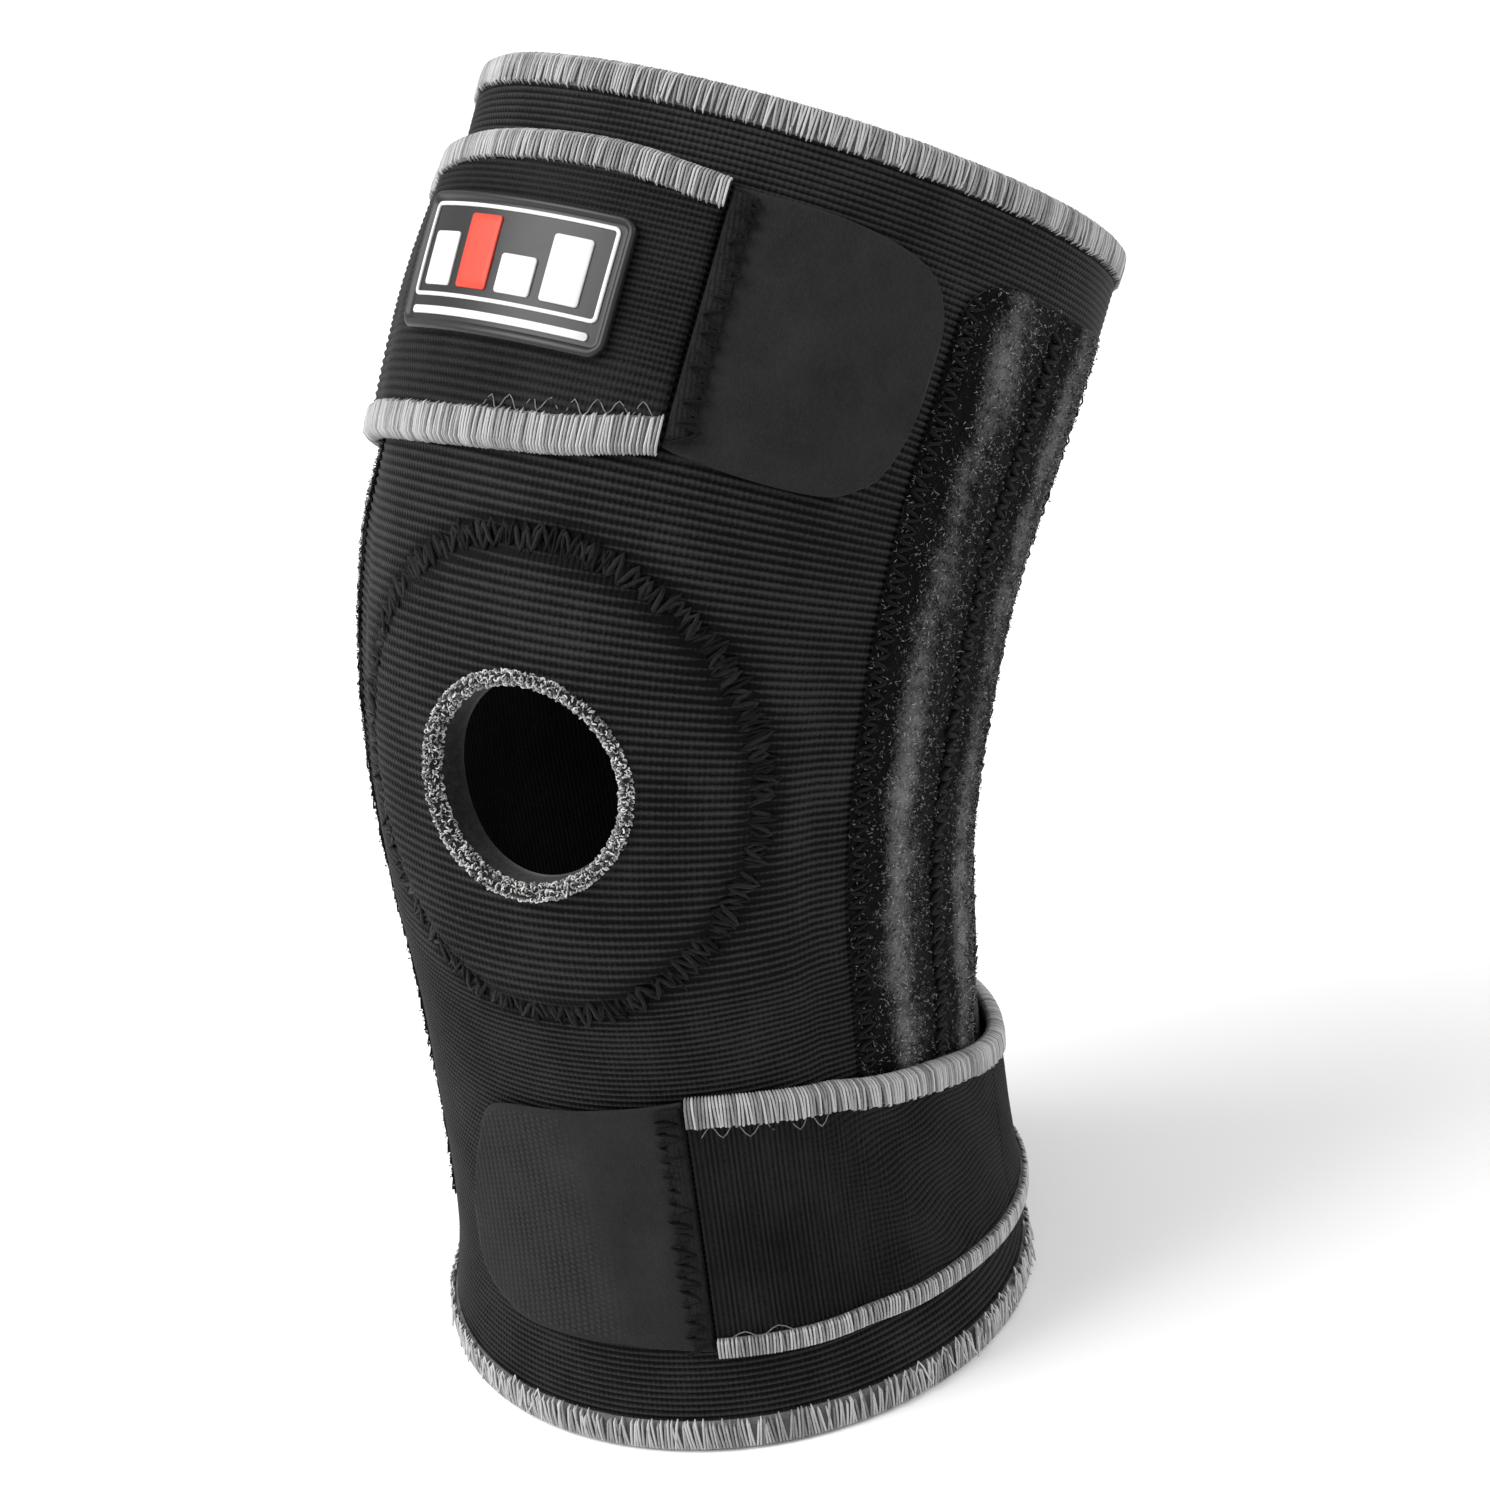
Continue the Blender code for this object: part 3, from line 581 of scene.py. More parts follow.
around = np.linspace(-BACK_EDGE, BACK_EDGE, 171)
here = np.full_like(around, EDGE_ROOM)
still = np.zeros_like(around)
hem = folded_tape("hem_tape", around, here, still, still + 1, HEM_BAND, -FOAM, 0.0)
hem_yarn = whipping("hem_whipping", around, here, still, still + 1, HEM_BAND, 0.0, FOAM, 5, 0.17, 0.14)
rim = folded_tape("top_tape", around, HEIGHT - here, still, still - 1, TOP_BAND, -FOAM, 0.0)
rim_yarn = whipping("top_whipping", around, HEIGHT - here, still, still - 1, TOP_BAND, 0.0, FOAM, 6)
bright_yarn = yarn_look("bright_yarn", (0.45, 0.45, 0.45), (0.80, 0.80, 0.80))
for number, (first, last) in enumerate(((-112.0, -14.0), (58.0, 128.0)), 1):
    path = np.linspace(first, last, 90)
    zero = 0 * path
    saw = seam(f"hem_sawtooth_{number}", path, 0.0046 + zero, 0.0013 + zero, zero, 1 + zero, bright_yarn,
               0.0036, 0.0062, 0.00021, 40 + number, wander=0.0006)
    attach(saw, "calf")
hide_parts("hem_binding")
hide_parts("top_binding")
for piece, body in ((hem, "calf"), (hem_yarn, "calf"), (rim, "thigh"), (rim_yarn, "thigh")):
    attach(piece, body)
levels = np.linspace(EDGE_ROOM + HEM_BAND + 0.0004, HEIGHT - EDGE_ROOM - TOP_BAND - 0.0004, 110)
for side, word in ((1, "right"), (-1, "left")):
    per_metre = -side * np.degrees(1 / 0.0630) + 0 * levels
    phi = side * back_edge(levels)
    zero = 0 * levels
    tape = folded_tape(f"back_tape_{word}", phi, levels, per_metre, zero, BACK_BAND, -FOAM, 0.0)
    bends_at_knee(tape, "tape", *(f"{zone}_back_binding_{word}" for zone in ("calf", "knee", "thigh")))
    yarn = whipping(f"back_whipping_{word}", phi, levels, per_metre, zero, BACK_BAND, 0.0, FOAM, 7 + side)
    bends_at_knee(yarn, "tape")

# ---------------------------------------------------------------------------------------------
# Kneecap opening. A foam ring is sewn in behind the opening, the edge is overlocked with a
# looped grey and white yarn, and a wide black zigzag circle holds the ring pad to the wrap.
# ---------------------------------------------------------------------------------------------
PAD, PAD_PHI, PAD_HALF, PAD_REACH = 0.0030, 40.0, 0.0320, 0.0235
RING_BAND = 0.0012

# The lining's woven lines are painted darker in their hollows: painted shade.
lining = cloth("knitted_lining", (0.012, 0.012, 0.013), (0.035, 0.035, 0.037), 0.8, 0.15,
               pattern=((0, 0.0010, 0.00004, 0.04), (1, 0.0010, 0.00004, 0.04)))
round_it = np.linspace(0, 2 * math.pi, 97)[:-1]


def oval(half_phi, half_s):
    """Angles and heights of a loop round the kneecap."""
    return half_phi * np.cos(round_it), HOLE_MIDDLE + half_s * np.sin(round_it)


def ring_between(name, profile, material):
    """Closed ring; the profile gives (share of the way from the opening to the pad's rim, height)."""
    loops = []
    for share, w in profile:
        phi, s = oval(HOLE_PHI + (PAD_PHI - HOLE_PHI) * share, HOLE_HALF + (PAD_HALF - HOLE_HALF) * share)
        loops.append(on_leg(phi, s, w + wrap_relief(phi, s)))
    rows = np.stack(loops, 1)
    flat = np.stack([rows[..., 0], rows[..., 2]], -1)
    made = mesh_object(name, rows, skin(len(round_it), len(profile), ring=True), flat)
    made.data.materials.append(material)
    return outward(made)


under = -FOAM - GAP
pad_profile = [(0, under), (0.5, under), (0.9, under - 0.0002), (1.0, under - 0.0009), (0.96, under - 0.0019),
               (0.85, under - PAD * 0.9), (0.5, under - PAD), (0, under - PAD)]
pad = ring_between("kneecap_ring_pad", pad_profile, lining)
bends_at_knee(pad, "lining", "kneecap_pad")

dark_yarn = yarn_look("dark_yarn", (0.012, 0.012, 0.012), (0.10, 0.10, 0.10))
edge_low = under - PAD
share = RING_BAND / PAD_REACH
ring_profile = [(share, GAP * 0.4), (share * 0.9, 0.0010), (share * 0.45, 0.0014), (0.0, 0.0010),
                (-0.035, 0.0), (-0.042, -0.002), (-0.042, edge_low + 0.002), (-0.035, edge_low),
                (0.0, edge_low - 0.0007), (share * 0.5, edge_low - 0.0009), (share, edge_low - GAP * 0.4),
                (-0.008, edge_low - GAP * 0.4), (-0.008, GAP * 0.4)]
core = ring_between("kneecap_edge_core", ring_profile, dark_yarn)
bends_at_knee(core, "boucle", "kneecap_binding")
# Pale loops cover only the outer face of the edge; the wall below is left as bare dark core, partly the
# core's own colour and partly painted shade.
seen_profile = [(share, 0.0), *ring_profile[1:5], (-0.042, -0.0012), (-0.02, -0.0008)]
edge_face = ring_between("edge_face", seen_profile, dark_yarn)

# Small loops of yarn strewn over a surface.
loops, inputs = new_tree("looped_yarn", [("Density", "Float", 1e6), ("Size", "Float", 1.0),
                                         ("Loop", "Object", None), ("Tumble", "Float", 0.6),
                                         ("Seed", "Int", 1)])
seed = inputs.outputs["Seed"]
spread = loops.nodes.new("GeometryNodeDistributePointsOnFaces")
loops.links.new(inputs.outputs[0], spread.inputs["Mesh"])
loops.links.new(inputs.outputs["Density"], spread.inputs["Density"])
loops.links.new(seed, spread.inputs["Seed"])
one = add(loops, "GeometryNodeObjectInfo", {"Object": inputs.outputs["Loop"]}, out="Geometry")
tumble = vector_sum(loops, "SCALE", drawn(loops, (-1.0, -1.0, -5.0), (1.0, 1.0, 5.0), seed, 1, vector=True),
                    inputs.outputs["Tumble"])
pose = add(loops, "FunctionNodeRotateRotation", {"Rotation": spread.outputs["Rotation"], "Rotate By": tumble},
           rotation_space="LOCAL")
size = sum_up(loops, "MULTIPLY", drawn(loops, 0.6, 1.25, seed, 2), inputs.outputs["Size"])
laid = add(loops, "GeometryNodeInstanceOnPoints", {"Points": spread.outputs["Points"], "Instance": one,
                                                    "Rotation": pose, "Scale": size})
close_tree(loops, inputs, shaded(loops, laid, seed))


def curl(radius, thick, turns=0.8, steps=7, sides=4):
    """Small open loop of yarn standing on its feet."""
    angles = [math.pi * (0.5 - turns) + 2 * math.pi * turns * k / (steps - 1) for k in range(steps)]
    return strand_of([(radius * math.cos(a), radius * (0.75 + math.sin(a))) for a in angles], thick, sides)


boucle = yarn_look("boucle_yarn", (0.020, 0.020, 0.020), (0.62, 0.62, 0.61))
one_loop = curl(0.00036, 0.00013, steps=6)
edge_loops = grown(edge_face, loops, "kneecap_edge_loops", boucle, Density=2.6e6, Size=1.0, Loop=one_loop,
                   Tumble=0.7, Seed=4)
bpy.data.objects.remove(one_loop, do_unlink=True)
bends_at_knee(edge_loops, "boucle")

black_thread = cloth("black_thread", (0.0015, 0.0015, 0.0015), (0.008, 0.008, 0.008), 0.6, 0.04,
                     mottle=300.0)
pinched = cloth("pinched_jersey", (0.0030, 0.0030, 0.0031), (0.0190, 0.0190, 0.0195), 0.6, 0.05,
                mottle=250.0)
ring_phi, ring_s = CIRCLE_PHI * np.cos(round_it), CIRCLE_MIDDLE + CIRCLE_HALF * np.sin(round_it)
in_phi, in_s = np.degrees(np.cos(round_it) / RADIUS), np.sin(round_it) / 1.4
for part, look, pitch, width, thread in ((1, pinched, 0.0031, 0.0054, 0.00056),
                                         (2, black_thread, 0.0026, 0.0068, 0.00036),
                                         (3, pinched, 0.0042, 0.0046, 0.00048)):
    stitched = seam(f"ring_seam_{part}", ring_phi, ring_s, wrap_relief(ring_phi, ring_s) + RIB_HEIGHT * 0.6,
                    in_phi, in_s, look, pitch, width, thread, part, wander=0.0009, ring=True)
    bends_at_knee(stitched, "boucle")

# ---------------------------------------------------------------------------------------------
# Side casings. A wide black loop-pile tape on each side of the knee, sewn down with three rows
# of black zigzag so that it makes two channels, each with a flat spring steel stay inside.
# ---------------------------------------------------------------------------------------------
CASING_LOW, CASING_HIGH = 0.0300, 0.2330
CASING_FRONT, CASING_REAR = 60.0, 106.0
CASING_ROUND = 0.0100
CASING_SEAMS, CASING_COLUMNS = (62.0, 83.0, 104.4), 70
# Angles where the pile carries a painted highlight along the channels' ridges.
HIGHLIGHT_PHIS = (70.5, 91.5, 100.0)
STAY_PHIS, STAY_HALF, STAY_LOW, STAY_HIGH = (72.0, 94.0), 3.2, 0.0380, 0.2240
STAY_ROOM, STAY_ROOF = 4.0, 0.0014

# Both pile materials are painted lighter by the "crest" attribute: a painted highlight over the channels and
# their ridges, with painted shade at the seams.
pile = cloth("loop_pile", (0.0016, 0.0016, 0.0017), (0.150, 0.150, 0.154), 0.75, 0.04, fuzz=0.00022,
             mottle=90.0, by=(("crest", 0.40), ("nap", -0.30)))
pile_yarn = yarn_look("pile_yarn", (0.002, 0.002, 0.002), (0.32, 0.32, 0.326), 0.7, 0.04,
                      by=(("crest", 0.50), ("nap", -0.48)))
steel = bpy.data.materials.new("spring_steel")
steel.use_nodes = True
shader = steel.node_tree.nodes["Principled BSDF"]
shader.inputs["Metallic"].default_value = 1.0
shader.inputs["Roughness"].default_value = 0.3
place = add(steel.node_tree, "ShaderNodeTexCoord", out=3)
grain = add(steel.node_tree, "ShaderNodeTexNoise", {"Vector": place, "Scale": 300.0, "Detail": 3.0})
tone = steel.node_tree.nodes.new("ShaderNodeValToRGB")
tone.color_ramp.elements[0].color = (0.42, 0.43, 0.44, 1)
tone.color_ramp.elements[1].color = (0.62, 0.63, 0.64, 1)
steel.node_tree.links.new(grain, tone.inputs[0])
steel.node_tree.links.new(tone.outputs[0], shader.inputs["Base Color"])

lift = np.linspace(CASING_FRONT, CASING_REAR, CASING_COLUMNS)
channel = sum(np.exp(-np.abs((lift - centre) / 5.2) ** 3.2) for centre in STAY_PHIS)
# Painted highlight: broad over each channel and narrow near its ridge, falling to painted shade at the seams.
painted_crest_highlight = 0.42 * channel + 0.55 * sum(peak(lift, centre, 2.8) for centre in HIGHLIGHT_PHIS)
sewn = sum(peak(lift, row, 1.3) for row in CASING_SEAMS)
top_w = 0.00090 + 0.00130 * channel - 0.00045 * sewn
front_room, rear_room = (centre - STAY_ROOM * np.array([-1, -1, 1, 1]) for centre in STAY_PHIS)
floor_phi = np.concatenate([rear_room, CASING_SEAMS[1:2], front_room, [CASING_FRONT + 0.3]])
floor_w = np.array([GAP, STAY_ROOF, STAY_ROOF, GAP, GAP, GAP, STAY_ROOF, STAY_ROOF, GAP, GAP])
levels = np.linspace(CASING_LOW, CASING_HIGH, 190)
profile_phi = np.concatenate([lift, [CASING_REAR - 0.3], floor_phi])
profile_w = np.concatenate([top_w, [GAP], floor_w])
over = np.concatenate([np.ones(len(lift)), np.zeros(1 + len(floor_phi))])
near_top = np.clip((levels - (CASING_HIGH - CASING_ROUND)) / CASING_ROUND, 0, 1)
cut = np.degrees(CASING_ROUND * (1 - np.sqrt(1 - near_top ** 2 * 0.998)) / 0.067)
phi = np.maximum(profile_phi[None, :], CASING_FRONT + cut[:, None])
s = np.broadcast_to(levels[:, None], phi.shape)
flat = np.stack([np.radians(phi) * RADIUS, s], -1)
painted_highlight_row = np.concatenate([painted_crest_highlight, np.zeros(1 + len(floor_phi))])
for side, word in ((1, "right"), (-1, "left")):
    lumps = np.sin(s * 610 + phi * 0.9) * np.sin(phi * 0.55 + side + s * 140)
    lumps = lumps + 0.7 * np.sin(s * 1630 + phi * 0.37 + side)
    w = profile_w[None, :] + 0.00010 * lumps * over[None, :]
    w = np.where((over[None, :] > 0) & (phi > profile_phi[None, :] + 0.01), 0.00085, w)
    points = on_leg(side * phi, s, w)
    # The painted highlight is broken up along its length.
    patchy = 0.72 + 0.28 * np.sin(s * 47 + phi * 0.21) * np.sin(s * 23 - phi * 0.13 + side)
    painted_highlight = painted_highlight_row * (patchy + 0.10 * lumps) * over
    casing = mesh_object(f"side_casing_tape_{word}", points, skin(len(levels), phi.shape[1])
                         + caps(len(levels), phi.shape[1]), flat, crest=painted_highlight, nap=over + 0 * phi)
    casing.data.materials.append(pile)
    outward(casing)
    bends_at_knee(casing, "plush", f"side_casing_{word}")
    n = CASING_COLUMNS
    quads = [[r * n + j, r * n + j + 1, (r + 1) * n + j + 1, (r + 1) * n + j][::side]
             for r in range(len(levels) - 1) for j in range(n - 1)]
    fur_base = mesh_object("fur_base", points[:, :n], quads, crest=painted_highlight[:, :n], nap=np.ones_like(painted_highlight[:, :n]))
    tuft = curl(0.00038, 0.00011, turns=0.6, steps=3, sides=3)
    fur = grown(fur_base, loops, f"side_casing_pile_{word}", pile_yarn, Density=1.15e6, Size=1.0, Loop=tuft,
                Tumble=0.9, Seed=20 + side)
    bpy.data.objects.remove(tuft, do_unlink=True)
    bends_at_knee(fur, "plush")
    run = levels[levels < CASING_HIGH - 0.004]
    zero = 0 * run
    threads = (0.00042 if side > 0 else 0.00020, 0.00060, 0.00020)
    for number, (row, thread) in enumerate(zip(CASING_SEAMS, threads), 1):
        stitched = seam(f"casing_seam_{word}_{number}", side * row + zero, run, 0.0008 + zero, 16.0 + zero,
                        zero, black_thread, 0.0030, 0.0036, thread, 30 + number, wander=0.0003)
        bends_at_knee(stitched, "plush")
    run = np.linspace(STAY_LOW, STAY_HIGH, 40)
    corners = [(-STAY_HALF, 0.0005), (STAY_HALF, 0.0005), (STAY_HALF, 0.0012), (-STAY_HALF, 0.0012)]
    for phi_stay, place in zip(STAY_PHIS, ("front", "rear")):
        rows = np.stack([on_leg(side * phi_stay + p + 0 * run, run, h) for p, h in corners], 1)
        stay = mesh_object(f"steel_stay_{word}_{place}", rows, skin(len(run), 4) + caps(len(run), 4))
        stay.data.polygons.foreach_set("use_smooth", [False] * len(stay.data.polygons))
        stay.data.materials.append(steel)
        bends_at_knee(outward(stay), "spring_steel", f"stay_{word}_{place}")

# ---------------------------------------------------------------------------------------------
# Straps. Two lengths of ribbed elastic, each sewn on at the back and pulled round to the front.
# The part behind the side casing stays on the brace; the part in front of it lifts off.
# ---------------------------------------------------------------------------------------------
STRAP, STRAP_BAND, STRAP_RADIUS = 0.0016, 0.0050, 0.0640
HINGE_CUT = 0.035
ON_WRAP = 2 * GAP + TAPE
ON_CASING = 0.0020 + ON_WRAP
ON_EDGES = ON_WRAP + GAP + TAPE
UPPER = np.array([(-215, 0.172, 0.228), (-180, 0.172, 0.228), (-110, 0.1755, 0.2300), (-60, 0.1805, 0.2320),
                  (-28, 0.1815, 0.2365), (-3, 0.1830, 0.2380), (8, 0.1840, 0.2370), (17.5, 0.1870, 0.2350)])
LOWER = np.array([(25.0, 0.0220, 0.0830), (39, 0.0212, 0.0820), (58, 0.0210, 0.0780), (76, 0.0205, 0.0730),
                  (98, 0.0185, 0.0640), (117, 0.0170, 0.0575), (140, 0.0145, 0.0555), (180, 0.0130, 0.0560),
                  (215, 0.0140, 0.0600)])
UPPER_PIVOT, LOWER_PIVOT = -92.0, 100.0

# Painted shade: the elastic is painted darker in its rib valleys and between its woven lines, lighter on the
# rib crests.
elastic = cloth("ribbed_elastic", (0.0016, 0.0016, 0.0017), (0.0165, 0.0165, 0.0170), 0.6, 0.012,
                pattern=((0, 0.0009, 0.00004, 0.04),), fuzz=0.00008, by=(("rib", 0.42), ("nap", -0.21)))


def strap_limits(table, phi):
    """Low and high edge of a strap at each angle, eased through the table."""
    nearby = np.linspace(-9, 9, 9)
    at = np.clip(np.asarray(phi, float)[:, None] + nearby, table[0, 0], table[-1, 0])
    return [np.interp(at, table[:, 0], table[:, k]).mean(1) for k in (1, 2)]


def strap_height(phi, side):
    """Height of a strap's inside face over the wrap, the casing and the taped back edges."""
    turned = side * np.asarray(phi)
    height = ON_WRAP + (ON_CASING - ON_WRAP) * eased(turned, 52, 67)
    height = height + (ON_EDGES - ON_CASING) * eased(turned, 108, 130)
    return height + (ON_WRAP - ON_EDGES) * eased(turned, 199, 208)


def strap_length(name, table, side, first, last, columns, rows, ribbing, flat_size, *nodes, move):
    """Length of strap with its two tapes and their whipping; `move` places each piece and hides the CAD nodes
    it stands for.
    """
    phi = np.linspace(first, last, columns)
    low, high = strap_limits(table, phi)
    low, high = low + EDGE_ROOM, high - EDGE_ROOM
    w = strap_height(phi, side)
    up = np.concatenate([np.linspace(0, 1, rows), np.linspace(1, 0, rows // 6)])
    on_top = np.concatenate([np.ones(rows), np.zeros(rows // 6)])
    s = low[:, None] + (high - low)[:, None] * up
    wide = np.broadcast_to(phi[:, None], s.shape)
    points = on_leg(wide, s, w[:, None] + on_top * STRAP)
    flat = np.stack([np.radians(wide) * STRAP_RADIUS, s], -1)
    piece = mesh_object(name, points, skin(columns, len(up)) + caps(columns, len(up)), flat,
                        rib=ribbing(wide, s) * on_top, nap=on_top + 0 * s)
    piece = grown(outward(piece), ribs, name, elastic, Height=0.00042, Unevenness=0.5)
    move(piece, "strap_knit", nodes[0])
    edges = []
    path = np.linspace(first, last, max(30, round(abs(last - first) / 1.5)))
    low, high = strap_limits(table, path)
    height = strap_height(path, side)
    zero = 0 * path
    for edge, s, turn, node in (("lower", low + EDGE_ROOM, 1, nodes[1]),
                                ("upper", high - EDGE_ROOM, -1, nodes[2])):
        band = STRAP_BAND * (0.8 if edge == "lower" else 1.0)
        tape = folded_tape(f"{name}_{edge}_edge", path, s, zero, zero + turn, band, height, height + STRAP)
        move(tape, "tape", node)
        yarn = whipping(f"{name}_{edge}_whipping", path, s, zero, zero + turn, band, height + STRAP, STRAP,
                        len(name) + turn, 0.07, 0.06, pitch=0.00070, inside=False)
        move(yarn, "tape")
        edges += [tape, yarn]


def across_joint(start, end):
    """Mover for the pieces that peel off at a hinge line; it bakes each in place and hides the CAD nodes it
    stands for.
    """
    def move(piece, slot, *nodes):
        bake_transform(piece)
        if nodes:
            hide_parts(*nodes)
    return move


def stays_on(body):
    """Mover for the pieces that ride on one body."""
    def move(piece, slot, *nodes):
        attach(piece, body)
        if nodes:
            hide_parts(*nodes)
    return move


def spot(phi, s, w=0.002):
    """One point of the leg."""
    return on_leg(np.array([phi]), s, w)[0]


lifts_upper = across_joint(spot(UPPER_PIVOT, 0.204),
                           spot(UPPER_PIVOT + 14, 0.204))
lifts_lower = across_joint(spot(LOWER_PIVOT, 0.0405),
                           spot(LOWER_PIVOT - 14, 0.0405))


def crests(turns):
    """Height of rounded ribs, one to a turn."""
    return 0.5 + 0.5 * np.cos(2 * np.pi * turns)


def level_ribs(phi, s):
    """Ribs along the strap."""
    return crests(s / 0.00130)


def drawn_ribs(phi, s):
    """Ribs along the strap that ripple where the elastic is drawn in."""
    return crests(s / 0.00145 + 0.8 * np.sin(phi * 0.16 + s * 90) + 0.35 * np.sin(phi * 0.42 + s * 260))


def turning_ribs(phi, s):
    """Ribs across the strap near its tab that turn into ribs along it towards the side."""
    turned = eased(phi + 200 * (s - 0.05), 46, 74)
    return (1 - turned) * crests(np.radians(phi) * 0.0600 / 0.00105) * 0.7 + turned * drawn_ribs(phi, s)


strap_length("upper_strap_front", UPPER, -1, UPPER_PIVOT, UPPER[-1, 0], 84, 168, level_ribs, (0.059, 0.136),
             "upper_strap", "upper_strap_lower_tape", "upper_strap_upper_tape", move=lifts_upper)
strap_length("upper_strap_root", UPPER, -1, UPPER[0, 0], UPPER_PIVOT - HINGE_CUT, 90, 168, level_ribs,
             (0.048, 0.150), "upper_strap_back", "upper_strap_back_lower_tape",
             "upper_strap_back_upper_tape", move=bends_at_knee)
strap_length("lower_strap_front", LOWER, 1, LOWER[0, 0], LOWER_PIVOT, 300, 180, turning_ribs, (0.055, 0.080),
             "lower_strap", "lower_strap_lower_tape", "lower_strap_upper_tape", move=lifts_lower)
strap_length("lower_strap_root", LOWER, 1, LOWER_PIVOT + HINGE_CUT, LOWER[-1, 0], 120, 168, drawn_ribs,
             (0.043, 0.123), "lower_strap_back", "lower_strap_back_lower_tape",
             "lower_strap_back_upper_tape", move=stays_on("calf"))

# Two rows of black zigzag hold each strap's sewn end to the wrap.
for name, table, phi_end, turn, side, move in (("upper", UPPER, UPPER[0, 0], 1, -1, bends_at_knee),
                                               ("lower", LOWER, LOWER[-1, 0], -1, 1, stays_on("calf"))):
    for row in (2.0, 7.0):
        low, high = (edge[0] for edge in strap_limits(table, np.array([phi_end])))
        run = np.linspace(low + 0.007, high - 0.007, 40)
        phi = phi_end + turn * row + 0 * run
        move(seam(f"{name}_strap_root_seam_{row:.0f}", phi, run, strap_height(phi, side) + STRAP + 0.0003,
                  16.0 + 0 * run, 0 * run, black_thread, 0.0030, 0.0032, 0.00034, 12), "strap_knit")

# Loose zigzag of pale thread where the edge stitching runs over onto the black elastic.
for name, table, edge, first, last, side, pitch, width, move, turn in (
        ("upper_strap_spill", UPPER, 1, -14.0, 16.0, -1, 0.0044, 0.0030, lifts_upper, 1),
        ("lower_strap_spill", LOWER, 2, 27.0, 52.0, 1, 0.0048, 0.0032, lifts_lower, -1),
        ("lower_strap_low_spill", LOWER, 1, 27.0, 40.0, 1, 0.0060, 0.0018, lifts_lower, 1)):
    path = np.linspace(first, last, 40)
    zero = 0 * path
    inward = EDGE_ROOM + STRAP_BAND * (0.8 if turn > 0 else 1) + width / 3
    s = strap_limits(table, path)[edge - 1] + turn * inward
    move(seam(name, path, s, strap_height(path, side) + STRAP + 0.0003, zero, 1 + zero, pale_yarn, pitch,
              width, 0.00013, 9, wander=0.0004), "tape")

# ---------------------------------------------------------------------------------------------
# Strap tabs. Smooth matte tape with rounded ends, hooks moulded on the inside, sewn on to the
# end of each strap with black zigzag over a narrow folded strip.
# ---------------------------------------------------------------------------------------------
UPPER_TAB = [(18.3, 0.2344), (37, 0.2342), (50.5, 0.2310), (56.0, 0.2240), (57.3, 0.2130), (56.5, 0.1995),
             (54, 0.1915), (50, 0.1878), (45, 0.1858), (34.5, 0.1855), (22, 0.1865), (18.3, 0.1872)]
LOWER_TAB = [(24.2, 0.0825), (4.0, 0.0798), (-17.5, 0.0760), (-25, 0.0640), (-29.5, 0.0510), (-31.5, 0.0400),
             (-28.5, 0.0295), (-18.5, 0.0245), (-7.5, 0.0240), (8.5, 0.0242), (24.2, 0.0230)]
HOOK_LIFT, TAB_TOP = 0.0013, 0.0022

# Painted highlight: where the moulded dots show, their tops are painted lighter and the hollows between them
# darker; the woven lines are painted darker in their hollows.
hook_tape = cloth("hook_tape", (0.0090, 0.0090, 0.0092), (0.0240, 0.0240, 0.0244), 0.75, 0.05,
                  pattern=((0, 0.0006, 0.000012, 0.02),), fuzz=0.00003, mottle=90.0,
                  by=(("rib", 0.95), ("nap", -0.08)))


def tab_outline(corners, count=24):
    """Smooth curve through the tab's corners, from one end of the seam round to the other."""
    c = np.array(corners)
    c = np.vstack([2 * c[0] - c[1], c, 2 * c[-1] - c[-2]])
    t = np.linspace(0, 1, count, endpoint=False)[:, None]
    run = [curve_through(*four, t) for four in zip(c, c[1:], c[2:], c[3:])]
    return np.vstack(run + [c[-2:-1]])


def plain(phi, s):
    """No weave to be seen."""
    return 0 * phi


def dotted_end(phi, s):
    """The weave shows as dots towards the tab's free end."""
    return 1 - eased(phi + 160 * (s - 0.05), -10, 8)


